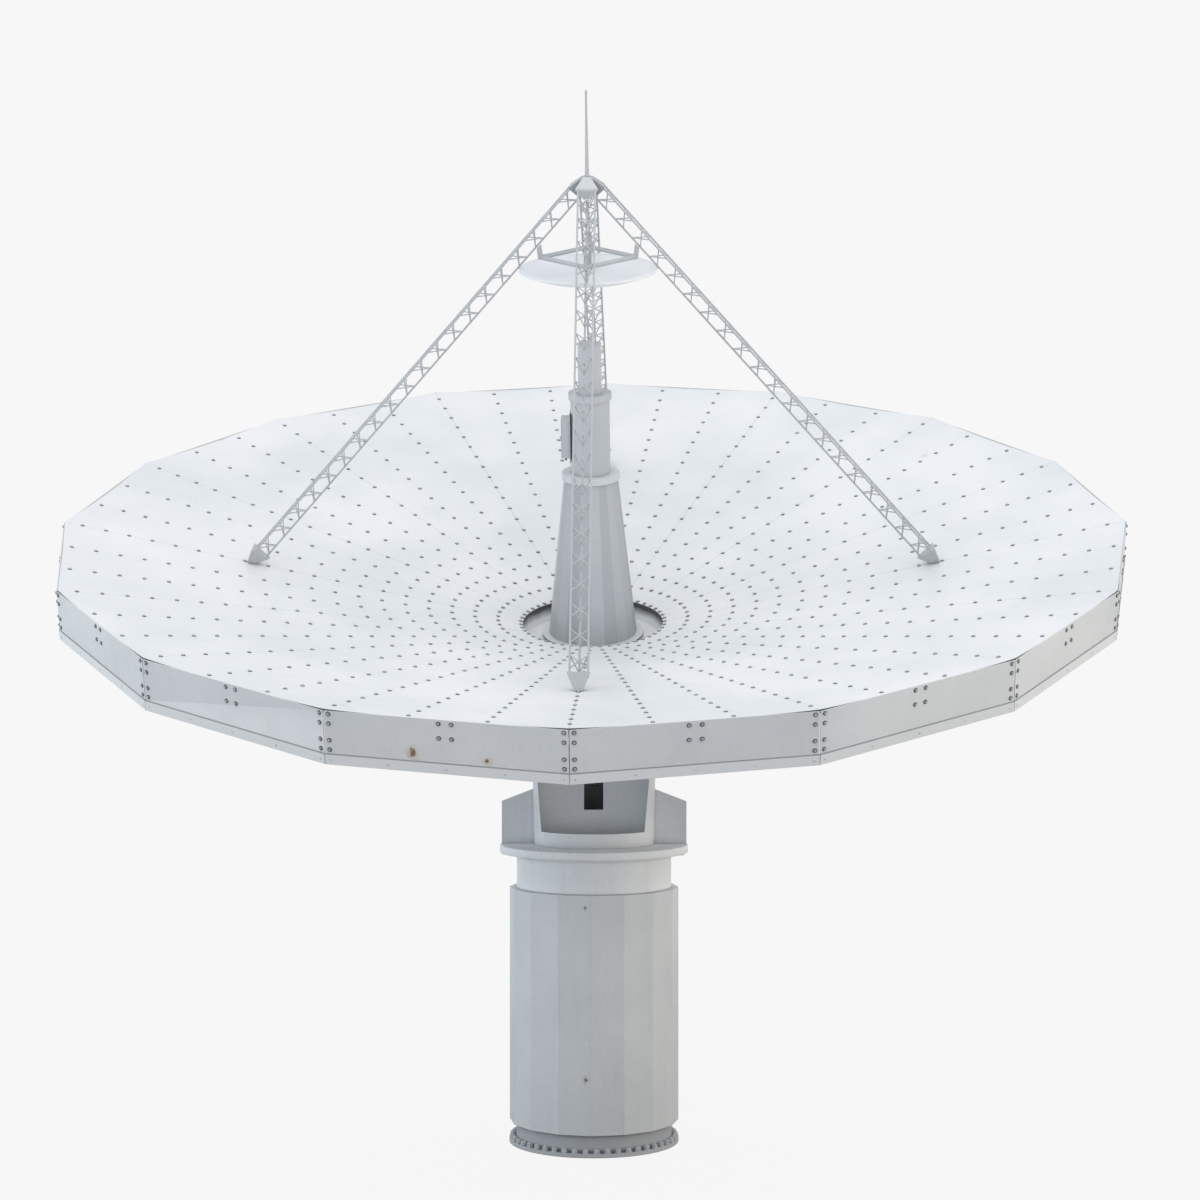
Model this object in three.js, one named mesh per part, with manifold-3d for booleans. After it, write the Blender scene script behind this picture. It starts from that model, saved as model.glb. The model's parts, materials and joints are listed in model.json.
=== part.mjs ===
// Cassegrain earth-station dish on a turning pedestal.
// Millimetres, +Z up, the base plate's underside is centred on the origin, the dish leans towards -Y.
import * as THREE from 'three';
import { mergeVertices } from 'three/addons/utils/BufferGeometryUtils.js';
import { ConvexGeometry } from 'three/addons/geometries/ConvexGeometry.js';
import Module from 'manifold-3d';

const wasm = await Module();
wasm.setup();

// ---- driving dimensions ----
const RIM_RADIUS = 4500;        // from the dish axis to a corner of the rim
const RIM_SIDES = 16;
const RIM_HEIGHT = 403;
const RIM_LIP_HEIGHT = 82;
const SKIN_SLOPE = 0.2332;      // rise of the reflector's surface per unit of radius
const SKIN_EDGE_HEIGHT = 12;    // surface above the rim plates' top, at the rim's corners
const SKIN_THICKNESS = 8;
const HUB_HOLE_RADIUS = 600;
const PANELS = 8;
const GAP = 1;                  // between pieces that touch
const SEAM = 6;                 // between neighbouring rim plates

const TILT = THREE.MathUtils.degToRad(20);   // dish axis from straight up, at rest
const PIVOT_HEIGHT = 3741;
const RIM_OVER_PIVOT = 1710;    // rim plane above the elevation axis, along the dish axis

const FLANGE = { radius: 735, top: 36 };
const PLINTH = { radius: 674, top: 183 };
const SHAFT = { radius: 733, wall: 20, top: 2204, ringInner: 600, ringThickness: 20 };
const COLLAR = { radius: 671, wall: 31, top: 2505, shelf: 2436 };
const PLATFORM = { radius: 817, bottom: 2506, top: 2576 };
const DRUM = { bottomRadius: 521, topRadius: 548, wall: 12, top: PIVOT_HEIGHT + 150 };
const WINDOW = {                // widens from its sill to its shoulder, then runs straight up
  sillHalf: 443, sill: 2702, half: 481, shoulder: 3137, backHalf: 441, backTop: PIVOT_HEIGHT - 330,
};
const WING = { inner: 515, outer: 803, outerTop: 2945, tip: 528, tipTop: 3052, half: 6 };
const SLOT = { half: 83, bottom: 2877, plateHalf: 496, front: -96, back: -84 };
const TRUNNION_RADIUS = 70;

const AZIMUTH_GEAR = { module: 16, teeth: 39, pinionTeeth: 12, pinionAt: THREE.MathUtils.degToRad(135) };
const SECTOR_GEAR = { module: 18, teeth: 62, pinionTeeth: 12, restTooth: 2, endTooth: 6, halfWidth: 30 };

const LEG = {
  firstRadius: 2765, firstHeight: -201,      // where the lowest brace crosses the leg's middle line
  angle: Math.atan2(0.749, 0.6626),          // steepness against the rim plane
  length: 3933, depth: 109, width: 138, chord: 18, brace: 7, bays: 7,
};

// ---- geometry helpers ----
const vec = (x, y, z) => new THREE.Vector3(x, y, z);
const polar = (radius, angle) => [radius * Math.cos(angle), radius * Math.sin(angle)];
const skinHeight = (radius) => SKIN_EDGE_HEIGHT - SKIN_SLOPE * (RIM_RADIUS - radius);

// A closed geometry as a manifold solid: shared corners merged, empty triangles dropped, faces outwards.
function solid(geometry) {
  const bare = geometry.clone();
  bare.deleteAttribute('normal');
  bare.deleteAttribute('uv');
  const merged = mergeVertices(bare, 1e-3);
  const points = merged.getAttribute('position').array;
  const index = merged.getIndex().array;
  const corner = (i) => vec(points[3 * i], points[3 * i + 1], points[3 * i + 2]);
  const kept = [];
  let volume = 0;
  for (let t = 0; t < index.length; t += 3) {
    const [a, b, c] = [index[t], index[t + 1], index[t + 2]];
    if (a === b || b === c || c === a) continue;
    kept.push(a, b, c);
    volume += corner(a).dot(corner(b).cross(corner(c)));
  }
  if (volume < 0) kept.reverse();
  return new wasm.Manifold(new wasm.Mesh({
    numProp: 3,
    vertProperties: new Float32Array(points),
    triVerts: new Uint32Array(kept),
  }));
}

function toGeometry(manifold) {
  const mesh = manifold.getMesh();
  const geometry = new THREE.BufferGeometry();
  geometry.setAttribute('position', new THREE.BufferAttribute(new Float32Array(mesh.vertProperties), 3));
  geometry.setIndex(new THREE.BufferAttribute(new Uint32Array(mesh.triVerts), 1));
  geometry.computeVertexNormals();
  return geometry;
}

const clean = (geometry) => toGeometry(solid(geometry));
const joined = (...pieces) => toGeometry(pieces.map(solid).reduce((sum, piece) => sum.add(piece)));
const common = (a, b) => toGeometry(solid(a).intersect(solid(b)));
function cut(body, ...tools) {
  return toGeometry(tools.map(solid).reduce((rest, tool) => rest.subtract(tool), solid(body)));
}

// A ring or disc turned about Z from its [radius, height] outline.
function turned(outline, sides = 32) {
  const points = outline.map(([radius, height]) => new THREE.Vector2(radius, height));
  if (outline[0][0] !== 0) points.push(points[0].clone());
  return new THREE.LatheGeometry(points, sides).rotateX(Math.PI / 2);
}

function tube(outer, inner, bottom, top, sides = 32) {
  return turned([[inner, bottom], [outer, bottom], [outer, top], [inner, top]], sides);
}

function disc(radius, bottom, top, sides = 32) {
  return turned([[0, bottom], [radius, bottom], [radius, top], [0, top]], sides);
}

// A block between two corners.
function block([x0, y0, z0], [x1, y1, z1]) {
  const box = new THREE.BoxGeometry(x1 - x0, y1 - y0, z1 - z0);
  return box.translate((x0 + x1) / 2, (y0 + y1) / 2, (z0 + z1) / 2);
}

// A flat plate: outline in X and Y, thickness along Z from 0.
function plate(outline, thickness) {
  const shape = new THREE.Shape(outline.map(([x, y]) => new THREE.Vector2(x, y)));
  return new THREE.ExtrudeGeometry(shape, { depth: thickness, bevelEnabled: false });
}

// A plate whose outline is in Y and Z, from x0 to x1.
function plateAcrossX(outline, x0, x1) {
  const axes = new THREE.Matrix4().makeBasis(vec(0, 1, 0), vec(0, 0, 1), vec(1, 0, 0));
  return plate(outline, x1 - x0).applyMatrix4(axes).translate(x0, 0, 0);
}

// A plate whose outline is in X and Z, from y0 to y1.
function plateAcrossY(outline, y0, y1) {
  return plate(outline, y1 - y0).rotateX(Math.PI / 2).translate(0, y1, 0);
}

function rodAlongX(radius, x0, x1, y = 0, z = 0, sides = 24) {
  const rod = new THREE.CylinderGeometry(radius, radius, x1 - x0, sides);
  return rod.rotateZ(Math.PI / 2).translate((x0 + x1) / 2, y, z);
}

// A straight bar between two points, with 3 or 4 sides.
function bar(from, to, width, sides) {
  const along = to.clone().sub(from);
  const rod = new THREE.CylinderGeometry(width / 2, width / 2, along.length(), sides);
  const turn = new THREE.Quaternion().setFromUnitVectors(vec(0, 1, 0), along.clone().normalize());
  const middle = from.clone().add(to).multiplyScalar(0.5);
  return rod.applyQuaternion(turn).translate(middle.x, middle.y, middle.z);
}

// ---- gears ----
const TIP = 0.75;               // tooth tip outside the pitch circle, in modules
const ROOT = 1.15;              // tooth root inside the pitch circle, in modules
const TIP_SHARE = 0.24;         // tooth width at the tip and the root, as a share of the tooth spacing
const ROOT_SHARE = 0.56;

// Corner points of one tooth centred on an angle, in order of growing angle.
function tooth(module, teeth, angle) {
  const pitchRadius = module * teeth / 2;
  const step = 2 * Math.PI / teeth;
  const root = pitchRadius - ROOT * module;
  const tip = pitchRadius + TIP * module;
  return [
    polar(root, angle - step * ROOT_SHARE / 2), polar(tip, angle - step * TIP_SHARE / 2),
    polar(tip, angle + step * TIP_SHARE / 2), polar(root, angle + step * ROOT_SHARE / 2),
  ];
}

// A whole gear lying in X and Y with a tooth centred on firstAngle.
function gear(module, teeth, firstAngle, thickness) {
  const outline = [];
  for (let i = 0; i < teeth; i += 1) {
    outline.push(...tooth(module, teeth, firstAngle + i * 2 * Math.PI / teeth));
  }
  return plate(outline, thickness);
}

// ---- scene graph ----
const antenna = new THREE.Group();
const turret = new THREE.Group();
const dish = new THREE.Group();
dish.position.set(0, 0, PIVOT_HEIGHT);
dish.rotation.x = TILT;
const reflector = new THREE.Group();     // everything measured from the rim plane
reflector.position.set(0, 0, RIM_OVER_PIVOT);
dish.add(reflector);
antenna.add(turret, dish);

const FINISHES = {
  white: { color: 0xe8ebee, roughness: 0.5, metalness: 0.0 },
  pale: { color: 0xc9cdd1, roughness: 0.55, metalness: 0.0 },
  grey: { color: 0xb9bdc2, roughness: 0.6, metalness: 0.0 },
  truss: { color: 0xc4c8cb, roughness: 0.5, metalness: 0.1 },
  steel: { color: 0x8f9499, roughness: 0.4, metalness: 0.9 },
  dark: { color: 0x3a3d40, roughness: 0.5, metalness: 0.7 },
};

function addPart(parent, name, geometry, finish) {
  const mesh = new THREE.Mesh(geometry, new THREE.MeshStandardMaterial(FINISHES[finish]));
  mesh.name = name;
  parent.add(mesh);
  return mesh;
}

// ---- pedestal ----
const FACET = 2 * Math.PI / RIM_SIDES;
const HATCH = {
  width: 200, bottom: 500, height: 620, margin: 15, thickness: 8, facing: Math.PI / 2 + FACET / 2,
};
const SHAFT_APOTHEM = SHAFT.radius * Math.cos(FACET / 2);

function baseFlange() {
  return clean(turned([
    [0, 0], [FLANGE.radius, 0], [FLANGE.radius, FLANGE.top], [PLINTH.radius, FLANGE.top],
    [PLINTH.radius, PLINTH.top], [0, PLINTH.top],
  ], 48));
}

function anchorNuts(count, circleRadius, nutRadius, nutHeight) {
  const washer = tube(circleRadius + 26, circleRadius - 26, FLANGE.top + GAP, FLANGE.top + 5, 24);
  const nuts = [];
  for (let i = 0; i < count; i += 1) {
    const [x, y] = polar(circleRadius, (i + 0.5) * 2 * Math.PI / count);
    nuts.push(disc(nutRadius, FLANGE.top + 3, FLANGE.top + 3 + nutHeight, 6).translate(x, y, 0));
  }
  return joined(washer, ...nuts);
}

function pedestalShaft() {
  const bottom = PLINTH.top + GAP;
  const { radius, top, ringInner, ringThickness } = SHAFT;
  const inner = radius - SHAFT.wall;
  const wall = turned([
    [inner, bottom], [radius, bottom], [radius, top], [ringInner, top],
    [ringInner, top - ringThickness], [inner, top - ringThickness],
  ], RIM_SIDES);
  const doorway = block(
    [SHAFT_APOTHEM - 100, -HATCH.width / 2 + HATCH.margin, HATCH.bottom + HATCH.margin],
    [SHAFT_APOTHEM + 100, HATCH.width / 2 - HATCH.margin, HATCH.bottom + HATCH.height - HATCH.margin],
  ).rotateZ(HATCH.facing);
  return cut(wall, doorway);
}

function accessHatch() {
  const face = SHAFT_APOTHEM + GAP;
  return clean(block(
    [face, -HATCH.width / 2, HATCH.bottom],
    [face + HATCH.thickness, HATCH.width / 2, HATCH.bottom + HATCH.height],
  ).rotateZ(HATCH.facing));
}

function topCollar() {
  const inner = COLLAR.radius - COLLAR.wall;
  const bottom = SHAFT.top + GAP;
  return clean(turned([
    [inner, bottom], [COLLAR.radius, bottom], [COLLAR.radius, COLLAR.top], [inner, COLLAR.top],
    [inner, COLLAR.shelf], [200, COLLAR.shelf], [200, COLLAR.shelf - COLLAR.wall],
    [inner, COLLAR.shelf - COLLAR.wall],
  ], 40));
}

function slewingRing() {
  const bottom = COLLAR.shelf + GAP;
  const height = PLATFORM.bottom - GAP - bottom;
  const teeth = gear(AZIMUTH_GEAR.module, AZIMUTH_GEAR.teeth, AZIMUTH_GEAR.pinionAt, height);
  return cut(teeth.translate(0, 0, bottom), disc(220, bottom - 10, bottom + height + 10, 24));
}

addPart(antenna, 'base_flange', baseFlange(), 'grey');
addPart(antenna, 'anchor_nuts', anchorNuts(48, 706, 26, 30), 'pale');
addPart(antenna, 'pedestal_shaft', pedestalShaft(), 'grey');
addPart(antenna, 'access_hatch', accessHatch(), 'grey');
addPart(antenna, 'top_collar', topCollar(), 'grey');
addPart(antenna, 'slewing_ring', slewingRing(), 'steel');

// ---- turret: platform, drum with wings, drives ----
const PINION_SHAFT_RADIUS = 30;
const azimuthSpacing = AZIMUTH_GEAR.module * (AZIMUTH_GEAR.teeth + AZIMUTH_GEAR.pinionTeeth) / 2;
const azimuthPinionAt = polar(azimuthSpacing, AZIMUTH_GEAR.pinionAt);

function platformDisc() {
  const { radius, bottom, top } = PLATFORM;
  const rounded = turned([
    [0, bottom], [radius - 6, bottom], [radius, bottom + 6], [radius, top - 12], [radius - 12, top], [0, top],
  ], 48);
  const shaftHole = disc(PINION_SHAFT_RADIUS + 4, bottom - 10, top + 10, 16);
  const cableHole = disc(150, bottom - 10, top + 10, 16);
  return cut(rounded, shaftHole.translate(...azimuthPinionAt, 0), cableHole);
}

function turretDrum() {
  const foot = PLATFORM.top + GAP;
  const wall = turned([
    [DRUM.bottomRadius - DRUM.wall, foot], [DRUM.bottomRadius, foot],
    [DRUM.topRadius, DRUM.top], [DRUM.topRadius - DRUM.wall, DRUM.top],
  ], 48);
  const overTop = DRUM.top + 10;
  const { sillHalf, sill, half, shoulder, backHalf, backTop } = WINDOW;
  const frontWindow = plateAcrossY([
    [-sillHalf, sill], [sillHalf, sill], [half, shoulder],
    [half, overTop], [-half, overTop], [-half, shoulder],
  ], -2 * DRUM.topRadius, 0);
  const backOpening = block([-backHalf, -1, backTop], [backHalf, 2 * DRUM.topRadius, overTop]);
  const wing = [[WING.inner, foot], [WING.outer, foot], [WING.outer, WING.outerTop], [WING.tip, WING.tipTop]];
  const mirrored = wing.map(([x, z]) => [-x, z]).reverse();
  const wings = [wing, mirrored].map((outline) => plateAcrossY(outline, -WING.half, WING.half));
  return joined(cut(wall, frontWindow, backOpening), ...wings);
}

function slotPlate() {
  const foot = PLATFORM.top + GAP;
  const half = SLOT.plateHalf;
  const top = WINDOW.backTop;
  return clean(plateAcrossY([
    [-half, foot], [half, foot], [half, top], [SLOT.half, top],
    [SLOT.half, SLOT.bottom], [-SLOT.half, SLOT.bottom], [-SLOT.half, top], [-half, top],
  ], SLOT.front, SLOT.back));
}

function bearingBlock(side) {
  const housing = rodAlongX(140, 425, 512, 0, PIVOT_HEIGHT);
  const bore = rodAlongX(TRUNNION_RADIUS + GAP, 400, 540, 0, PIVOT_HEIGHT);
  return clean(cut(housing, bore).rotateZ(side > 0 ? 0 : Math.PI));
}

function azimuthPinion() {
  const { module, pinionTeeth, pinionAt } = AZIMUTH_GEAR;
  const bottom = COLLAR.shelf + 4;
  const halfStep = Math.PI / pinionTeeth;
  const teeth = gear(module, pinionTeeth, pinionAt + Math.PI + halfStep, 60).translate(0, 0, bottom);
  const shaft = disc(PINION_SHAFT_RADIUS, bottom + 50, PLATFORM.top - 2, 16);
  return joined(teeth, shaft).translate(...azimuthPinionAt, 0);
}

function azimuthGearmotor() {
  const foot = PLATFORM.top + GAP;
  const gearbox = disc(90, foot, foot + 150, 20);
  const motor = disc(66, foot + 140, foot + 380, 20);
  return joined(gearbox, motor).translate(...azimuthPinionAt, 0);
}

const sectorStep = 2 * Math.PI / SECTOR_GEAR.teeth;
const sectorMesh = SECTOR_GEAR.restTooth * sectorStep + TILT;   // pinion from straight down, towards +Y
const sectorSpacing = SECTOR_GEAR.module * (SECTOR_GEAR.teeth + SECTOR_GEAR.pinionTeeth) / 2;
const elevationPinionAt = [
  sectorSpacing * Math.sin(sectorMesh),
  PIVOT_HEIGHT - sectorSpacing * Math.cos(sectorMesh),
];

function elevationPinion() {
  const { module, pinionTeeth, halfWidth } = SECTOR_GEAR;
  const towardsPivot = Math.PI / 2 + sectorMesh;
  const outline = [];
  for (let i = 0; i < pinionTeeth; i += 1) {
    outline.push(...tooth(module, pinionTeeth, towardsPivot + (i + 0.5) * 2 * Math.PI / pinionTeeth));
  }
  const teeth = plateAcrossX(outline, -halfWidth, halfWidth);
  return joined(teeth, rodAlongX(PINION_SHAFT_RADIUS, halfWidth - 5, 78, 0, 0, 16))
    .translate(0, ...elevationPinionAt);
}

function elevationGearmotor() {
  const [y, z] = elevationPinionAt;
  const gearbox = rodAlongX(105, 80, 190, y, z);
  const motor = rodAlongX(66, 180, 265, y, z);
  const stand = block([95, y - 80, PLATFORM.top + GAP], [175, y + 80, z - 40]);
  return joined(gearbox, motor, stand);
}

addPart(turret, 'platform', platformDisc(), 'pale');
addPart(turret, 'turret_drum', turretDrum(), 'grey');
addPart(turret, 'slot_plate', slotPlate(), 'grey');
addPart(turret, 'bearing_block_left', bearingBlock(-1), 'steel');
addPart(turret, 'bearing_block_right', bearingBlock(1), 'steel');
addPart(turret, 'azimuth_pinion', azimuthPinion(), 'steel');
addPart(turret, 'azimuth_gearmotor', azimuthGearmotor(), 'dark');
addPart(turret, 'elevation_pinion', elevationPinion(), 'steel');
addPart(turret, 'elevation_gearmotor', elevationGearmotor(), 'dark');

// ---- elevation frame, measured from the pivot ----
const HUB_FLOOR = -1057;        // top of the hub cup's floor, from the rim plane
const HUB_FLOOR_THICKNESS = 20;
const HUB_OUTER_RADIUS = HUB_HOLE_RADIUS + 12;
const YOKE_TOP = RIM_OVER_PIVOT + HUB_FLOOR - HUB_FLOOR_THICKNESS - GAP;
const YOKE = { wall: 18, barrelRadius: 420, boxTop: 300, boxBottom: -160, halfX: 300, halfY: 250 };

// A welded barrel on a box, hollow and open at the top, bored for the trunnion shaft.
function elevationYoke() {
  const { wall, barrelRadius, boxTop, boxBottom, halfX, halfY } = YOKE;
  const barrel = disc(barrelRadius, boxTop - 1, YOKE_TOP, 32);
  const box = block([-halfX, -halfY, boxBottom], [halfX, halfY, boxTop + 1]);
  const barrelHollow = disc(barrelRadius - wall, boxTop - 1 + wall, YOKE_TOP + 10, 32);
  const boxHollow = block(
    [-halfX + wall, -halfY + wall, boxBottom + wall],
    [halfX - wall, halfY - wall, boxTop + 30],
  );
  const bore = rodAlongX(TRUNNION_RADIUS + GAP, -halfX - 10, halfX + 10);
  return cut(joined(barrel, box), barrelHollow, boxHollow, bore);
}

function sectorGear() {
  const { module, teeth, endTooth, halfWidth } = SECTOR_GEAR;
  const straightDown = -Math.PI / 2;
  const webTop = YOKE.boxBottom - GAP;
  const halfSpan = (endTooth + 0.5) * sectorStep;
  const outline = [[-webTop * Math.tan(-halfSpan), webTop]];
  for (let i = -endTooth; i <= endTooth; i += 1) {
    outline.push(...tooth(module, teeth, straightDown + i * sectorStep));
  }
  outline.push([-webTop * Math.tan(halfSpan), webTop]);
  return clean(plateAcrossX(outline, -halfWidth, halfWidth));
}

addPart(dish, 'trunnion_shaft', clean(rodAlongX(TRUNNION_RADIUS, -510, 510)), 'steel');
addPart(dish, 'elevation_yoke', elevationYoke(), 'grey');
addPart(dish, 'sector_gear', sectorGear(), 'steel');

// ---- reflector, measured from the rim plane ----
function hubCup() {
  const lip = skinHeight(HUB_HOLE_RADIUS) - SKIN_THICKNESS - 2 * GAP;
  const under = HUB_FLOOR - HUB_FLOOR_THICKNESS;
  return clean(turned([
    [0, under], [HUB_OUTER_RADIUS, under], [HUB_OUTER_RADIUS, lip], [HUB_HOLE_RADIUS, lip],
    [HUB_HOLE_RADIUS, HUB_FLOOR], [0, HUB_FLOOR],
  ], 32));
}

// A tall pie slice about Z that leaves half the given gap free along each straight side.
function pieSlice(middle, halfAngle, gap, corners) {
  const [gapX, gapY] = polar(gap / 2 / Math.sin(halfAngle), middle);
  return plate([[0, 0], ...corners], 3000).translate(gapX, gapY, -2000);
}

const RIB_INNER = 640;          // where the stiffeners start
const RIB_OUTER = RIM_RADIUS - 90;      // where they and the main ribs stop
const STIFFENER = { depth: 60, half: 5, offset: THREE.MathUtils.degToRad(15) };
const MAIN_RIB = { inner: 618, innerBottom: -1150, outerBottom: -380, half: 6 };

// One 45-degree panel of the conical skin, with a shallow stiffener to each side of its middle.
function reflectorPanel(middle) {
  const outerRadius = RIM_RADIUS + 50;
  const shell = turned([
    [HUB_HOLE_RADIUS, skinHeight(HUB_HOLE_RADIUS) - SKIN_THICKNESS],
    [outerRadius, skinHeight(outerRadius) - SKIN_THICKNESS],
    [outerRadius, skinHeight(outerRadius)],
    [HUB_HOLE_RADIUS, skinHeight(HUB_HOLE_RADIUS)],
  ], 48);
  const halfAngle = Math.PI / PANELS;
  const edge = RIM_RADIUS - 10;
  const corners = [-halfAngle, 0, halfAngle].map((offset) => polar(edge, middle + offset));
  const wedge = pieSlice(middle, halfAngle, GAP, corners);
  const stiffener = plateAcrossY([
    [RIB_INNER, skinHeight(RIB_INNER) - STIFFENER.depth],
    [RIB_OUTER, skinHeight(RIB_OUTER) - STIFFENER.depth],
    [RIB_OUTER, skinHeight(RIB_OUTER) - 5], [RIB_INNER, skinHeight(RIB_INNER) - 5],
  ], -STIFFENER.half, STIFFENER.half);
  const pair = [-1, 1].map((side) => stiffener.clone().rotateZ(middle + side * STIFFENER.offset));
  return joined(common(shell, wedge), ...pair);
}

// A deep radial plate under the skin, one below each lattice leg.
function mainRib() {
  const { inner, innerBottom, outerBottom, half } = MAIN_RIB;
  const under = SKIN_THICKNESS + 2 * GAP;
  return clean(plateAcrossY([
    [inner, innerBottom], [RIB_OUTER, outerBottom],
    [RIB_OUTER, skinHeight(RIB_OUTER) - under], [inner, skinHeight(inner) - under],
  ], -half, half));
}

// One flat outer plate of the rim, with its proud lower lip and inward foot.
function rimPlate(middle) {
  const face = RIM_RADIUS * Math.cos(FACET / 2);
  const length = 2 * RIM_RADIUS * Math.sin(FACET / 2) + 20;
  const lipTop = RIM_LIP_HEIGHT - RIM_HEIGHT;
  const section = [
    [face, 0], [face - 8, 0], [face - 8, -RIM_HEIGHT + 8], [face - 60, -RIM_HEIGHT + 8],
    [face - 60, -RIM_HEIGHT], [face + 6, -RIM_HEIGHT], [face + 6, lipTop], [face, lipTop],
  ];
  const corners = [-1, 1].map((side) => polar(RIM_RADIUS + 100, middle + side * FACET / 2));
  const straight = plateAcrossY(section, -length / 2, length / 2).rotateZ(middle);
  return common(straight, pieSlice(middle, FACET / 2, SEAM, corners));
}

for (let i = 0; i < PANELS; i += 1) {
  const middle = -Math.PI / 2 + i * 2 * Math.PI / PANELS;
  addPart(reflector, `reflector_panel_${i + 1}`, reflectorPanel(middle), 'white');
}
for (let i = 0; i < RIM_SIDES; i += 1) {
  const name = `rim_plate_${String(i + 1).padStart(2, '0')}`;
  addPart(reflector, name, rimPlate(-Math.PI / 2 + (i + 0.5) * FACET), 'pale');
}
addPart(reflector, 'hub_cup', hubCup(), 'white');

// ---- feed: cone, tube, horn and the equipment box on the tube ----
const CONE = {
  neckRadius: 390, flangeRadius: 434, flangeTop: -974, flangeThickness: 26,
  baseRadius: 376, topRadius: 228, top: 396, wall: 12,
};
const COLLAR_RING = { radius: 244, top: 450 };
const TUBE = { radius: 164, flangeRadius: 181, flangeBottom: 1085, top: 1139 };
const HORN = { radius: 98, top: 1557 };

function feedCone() {
  const foot = HUB_FLOOR + GAP;
  const { neckRadius, flangeRadius, flangeTop, flangeThickness, baseRadius, topRadius, top, wall } = CONE;
  const flangeBottom = flangeTop - flangeThickness;
  return clean(turned([
    [neckRadius - wall, foot], [neckRadius, foot], [neckRadius, flangeBottom],
    [flangeRadius, flangeBottom], [flangeRadius, flangeTop],
    [baseRadius, flangeTop], [topRadius, top], [COLLAR_RING.radius, top],
    [COLLAR_RING.radius, COLLAR_RING.top], [TUBE.radius - wall, COLLAR_RING.top],
    [TUBE.radius - wall, top], [baseRadius - 2 * wall, flangeBottom],
  ], 20));
}

function feedTube() {
  const wall = 10;
  return clean(turned([
    [TUBE.radius - wall, COLLAR_RING.top + GAP], [TUBE.radius, COLLAR_RING.top + GAP],
    [TUBE.radius, TUBE.flangeBottom], [TUBE.flangeRadius, TUBE.flangeBottom], [TUBE.flangeRadius, TUBE.top],
    [HORN.radius - wall, TUBE.top], [HORN.radius - wall, TUBE.flangeBottom],
    [TUBE.radius - wall, TUBE.flangeBottom - wall],
  ], 28));
}

function feedHorn() {
  const wall = 8;
  return clean(turned([
    [HORN.radius - wall, TUBE.top + GAP], [HORN.radius, TUBE.top + GAP], [HORN.radius, HORN.top],
    [0, HORN.top], [0, HORN.top - wall], [HORN.radius - wall, HORN.top - wall],
  ].reverse(), 20));
}

const BOX = { near: 171, far: 236, half: 80, bottom: 590, top: 922, wall: 4 };

function equipmentBox() {
  const outer = block([-BOX.far, -BOX.half, BOX.bottom], [-BOX.near, BOX.half, BOX.top]);
  const inside = block(
    [-BOX.far - 10, -BOX.half + BOX.wall, BOX.bottom + BOX.wall],
    [-BOX.near - BOX.wall, BOX.half - BOX.wall, BOX.top - BOX.wall],
  );
  const mountingPlate = block([-BOX.near - 1, -95, BOX.bottom - 45], [-TUBE.radius - 2, 95, BOX.top + 45]);
  return joined(cut(outer, inside), mountingPlate);
}

function boxDoor() {
  const face = -BOX.far - GAP / 2;
  return clean(block([face - 6, -BOX.half, BOX.bottom], [face, BOX.half, BOX.top]));
}

addPart(reflector, 'feed_cone', feedCone(), 'pale');
addPart(reflector, 'feed_tube', feedTube(), 'pale');
addPart(reflector, 'feed_horn', feedHorn(), 'pale');
addPart(reflector, 'equipment_box', equipmentBox(), 'pale');
addPart(reflector, 'box_door', boxDoor(), 'pale');

// ---- the four lattice legs and the ribs below them, built along +X and turned into place ----
// A point on the leg: along its length from the lowest brace, outward from its middle line, and sideways.
function legPoint(along, outward, sideways) {
  const [cos, sin] = [Math.cos(LEG.angle), Math.sin(LEG.angle)];
  return vec(
    LEG.firstRadius - along * cos + outward * sin,
    sideways,
    LEG.firstHeight + along * sin + outward * cos,
  );
}

const OUTER_CHORD = [-125, 4000];       // where the chords start, inside the foot, and stop along the leg
const INNER_CHORD = [-95, 3995];

function lattice() {
  const out = LEG.depth / 2;
  const side = LEG.width / 2;
  const corners = [[out, -side], [out, side], [-out, 0]];
  const pieces = [
    bar(legPoint(OUTER_CHORD[0], out, -side), legPoint(OUTER_CHORD[1], out, -side), LEG.chord, 4),
    bar(legPoint(OUTER_CHORD[0], out, side), legPoint(OUTER_CHORD[1], out, side), LEG.chord, 4),
    bar(legPoint(INNER_CHORD[0], -out, 0), legPoint(INNER_CHORD[1], -out, 0), LEG.chord, 4),
  ];
  const bay = LEG.length / LEG.bays;
  for (let i = 0; i < LEG.bays; i += 1) {
    corners.forEach((from, k) => {
      const to = corners[(k + 1) % corners.length];
      const [low, high] = i % 2 === 0 ? [from, to] : [to, from];
      pieces.push(bar(legPoint(i * bay, ...low), legPoint((i + 1) * bay, ...high), 2 * LEG.brace, 3));
    });
  }
  return pieces;
}

function hull(corners) {
  return new ConvexGeometry(corners.map(([radius, sideways, height]) => vec(radius, sideways, height)));
}

const bothSides = ([radius, half, height]) => [[radius, -half, height], [radius, half, height]];

// The wedge-shaped shoe that the leg's three chords are welded into, just clear of the skin.
const SHOE = {
  outer: { radius: 2891, half: 91, height: -208 }, inner: { radius: 2752, half: 20, height: -316 },
  toe: { from: 2878, to: 2945, half: 31, clearance: 3 },
};

function legFoot() {
  const { outer, inner, toe } = SHOE;
  return hull([
    [outer.radius, outer.half, outer.height], [inner.radius, inner.half, inner.height],
    [toe.from, toe.half, skinHeight(toe.from) + toe.clearance],
    [toe.to, toe.half, skinHeight(toe.to) + toe.clearance],
  ].flatMap(bothSides));
}

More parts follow.
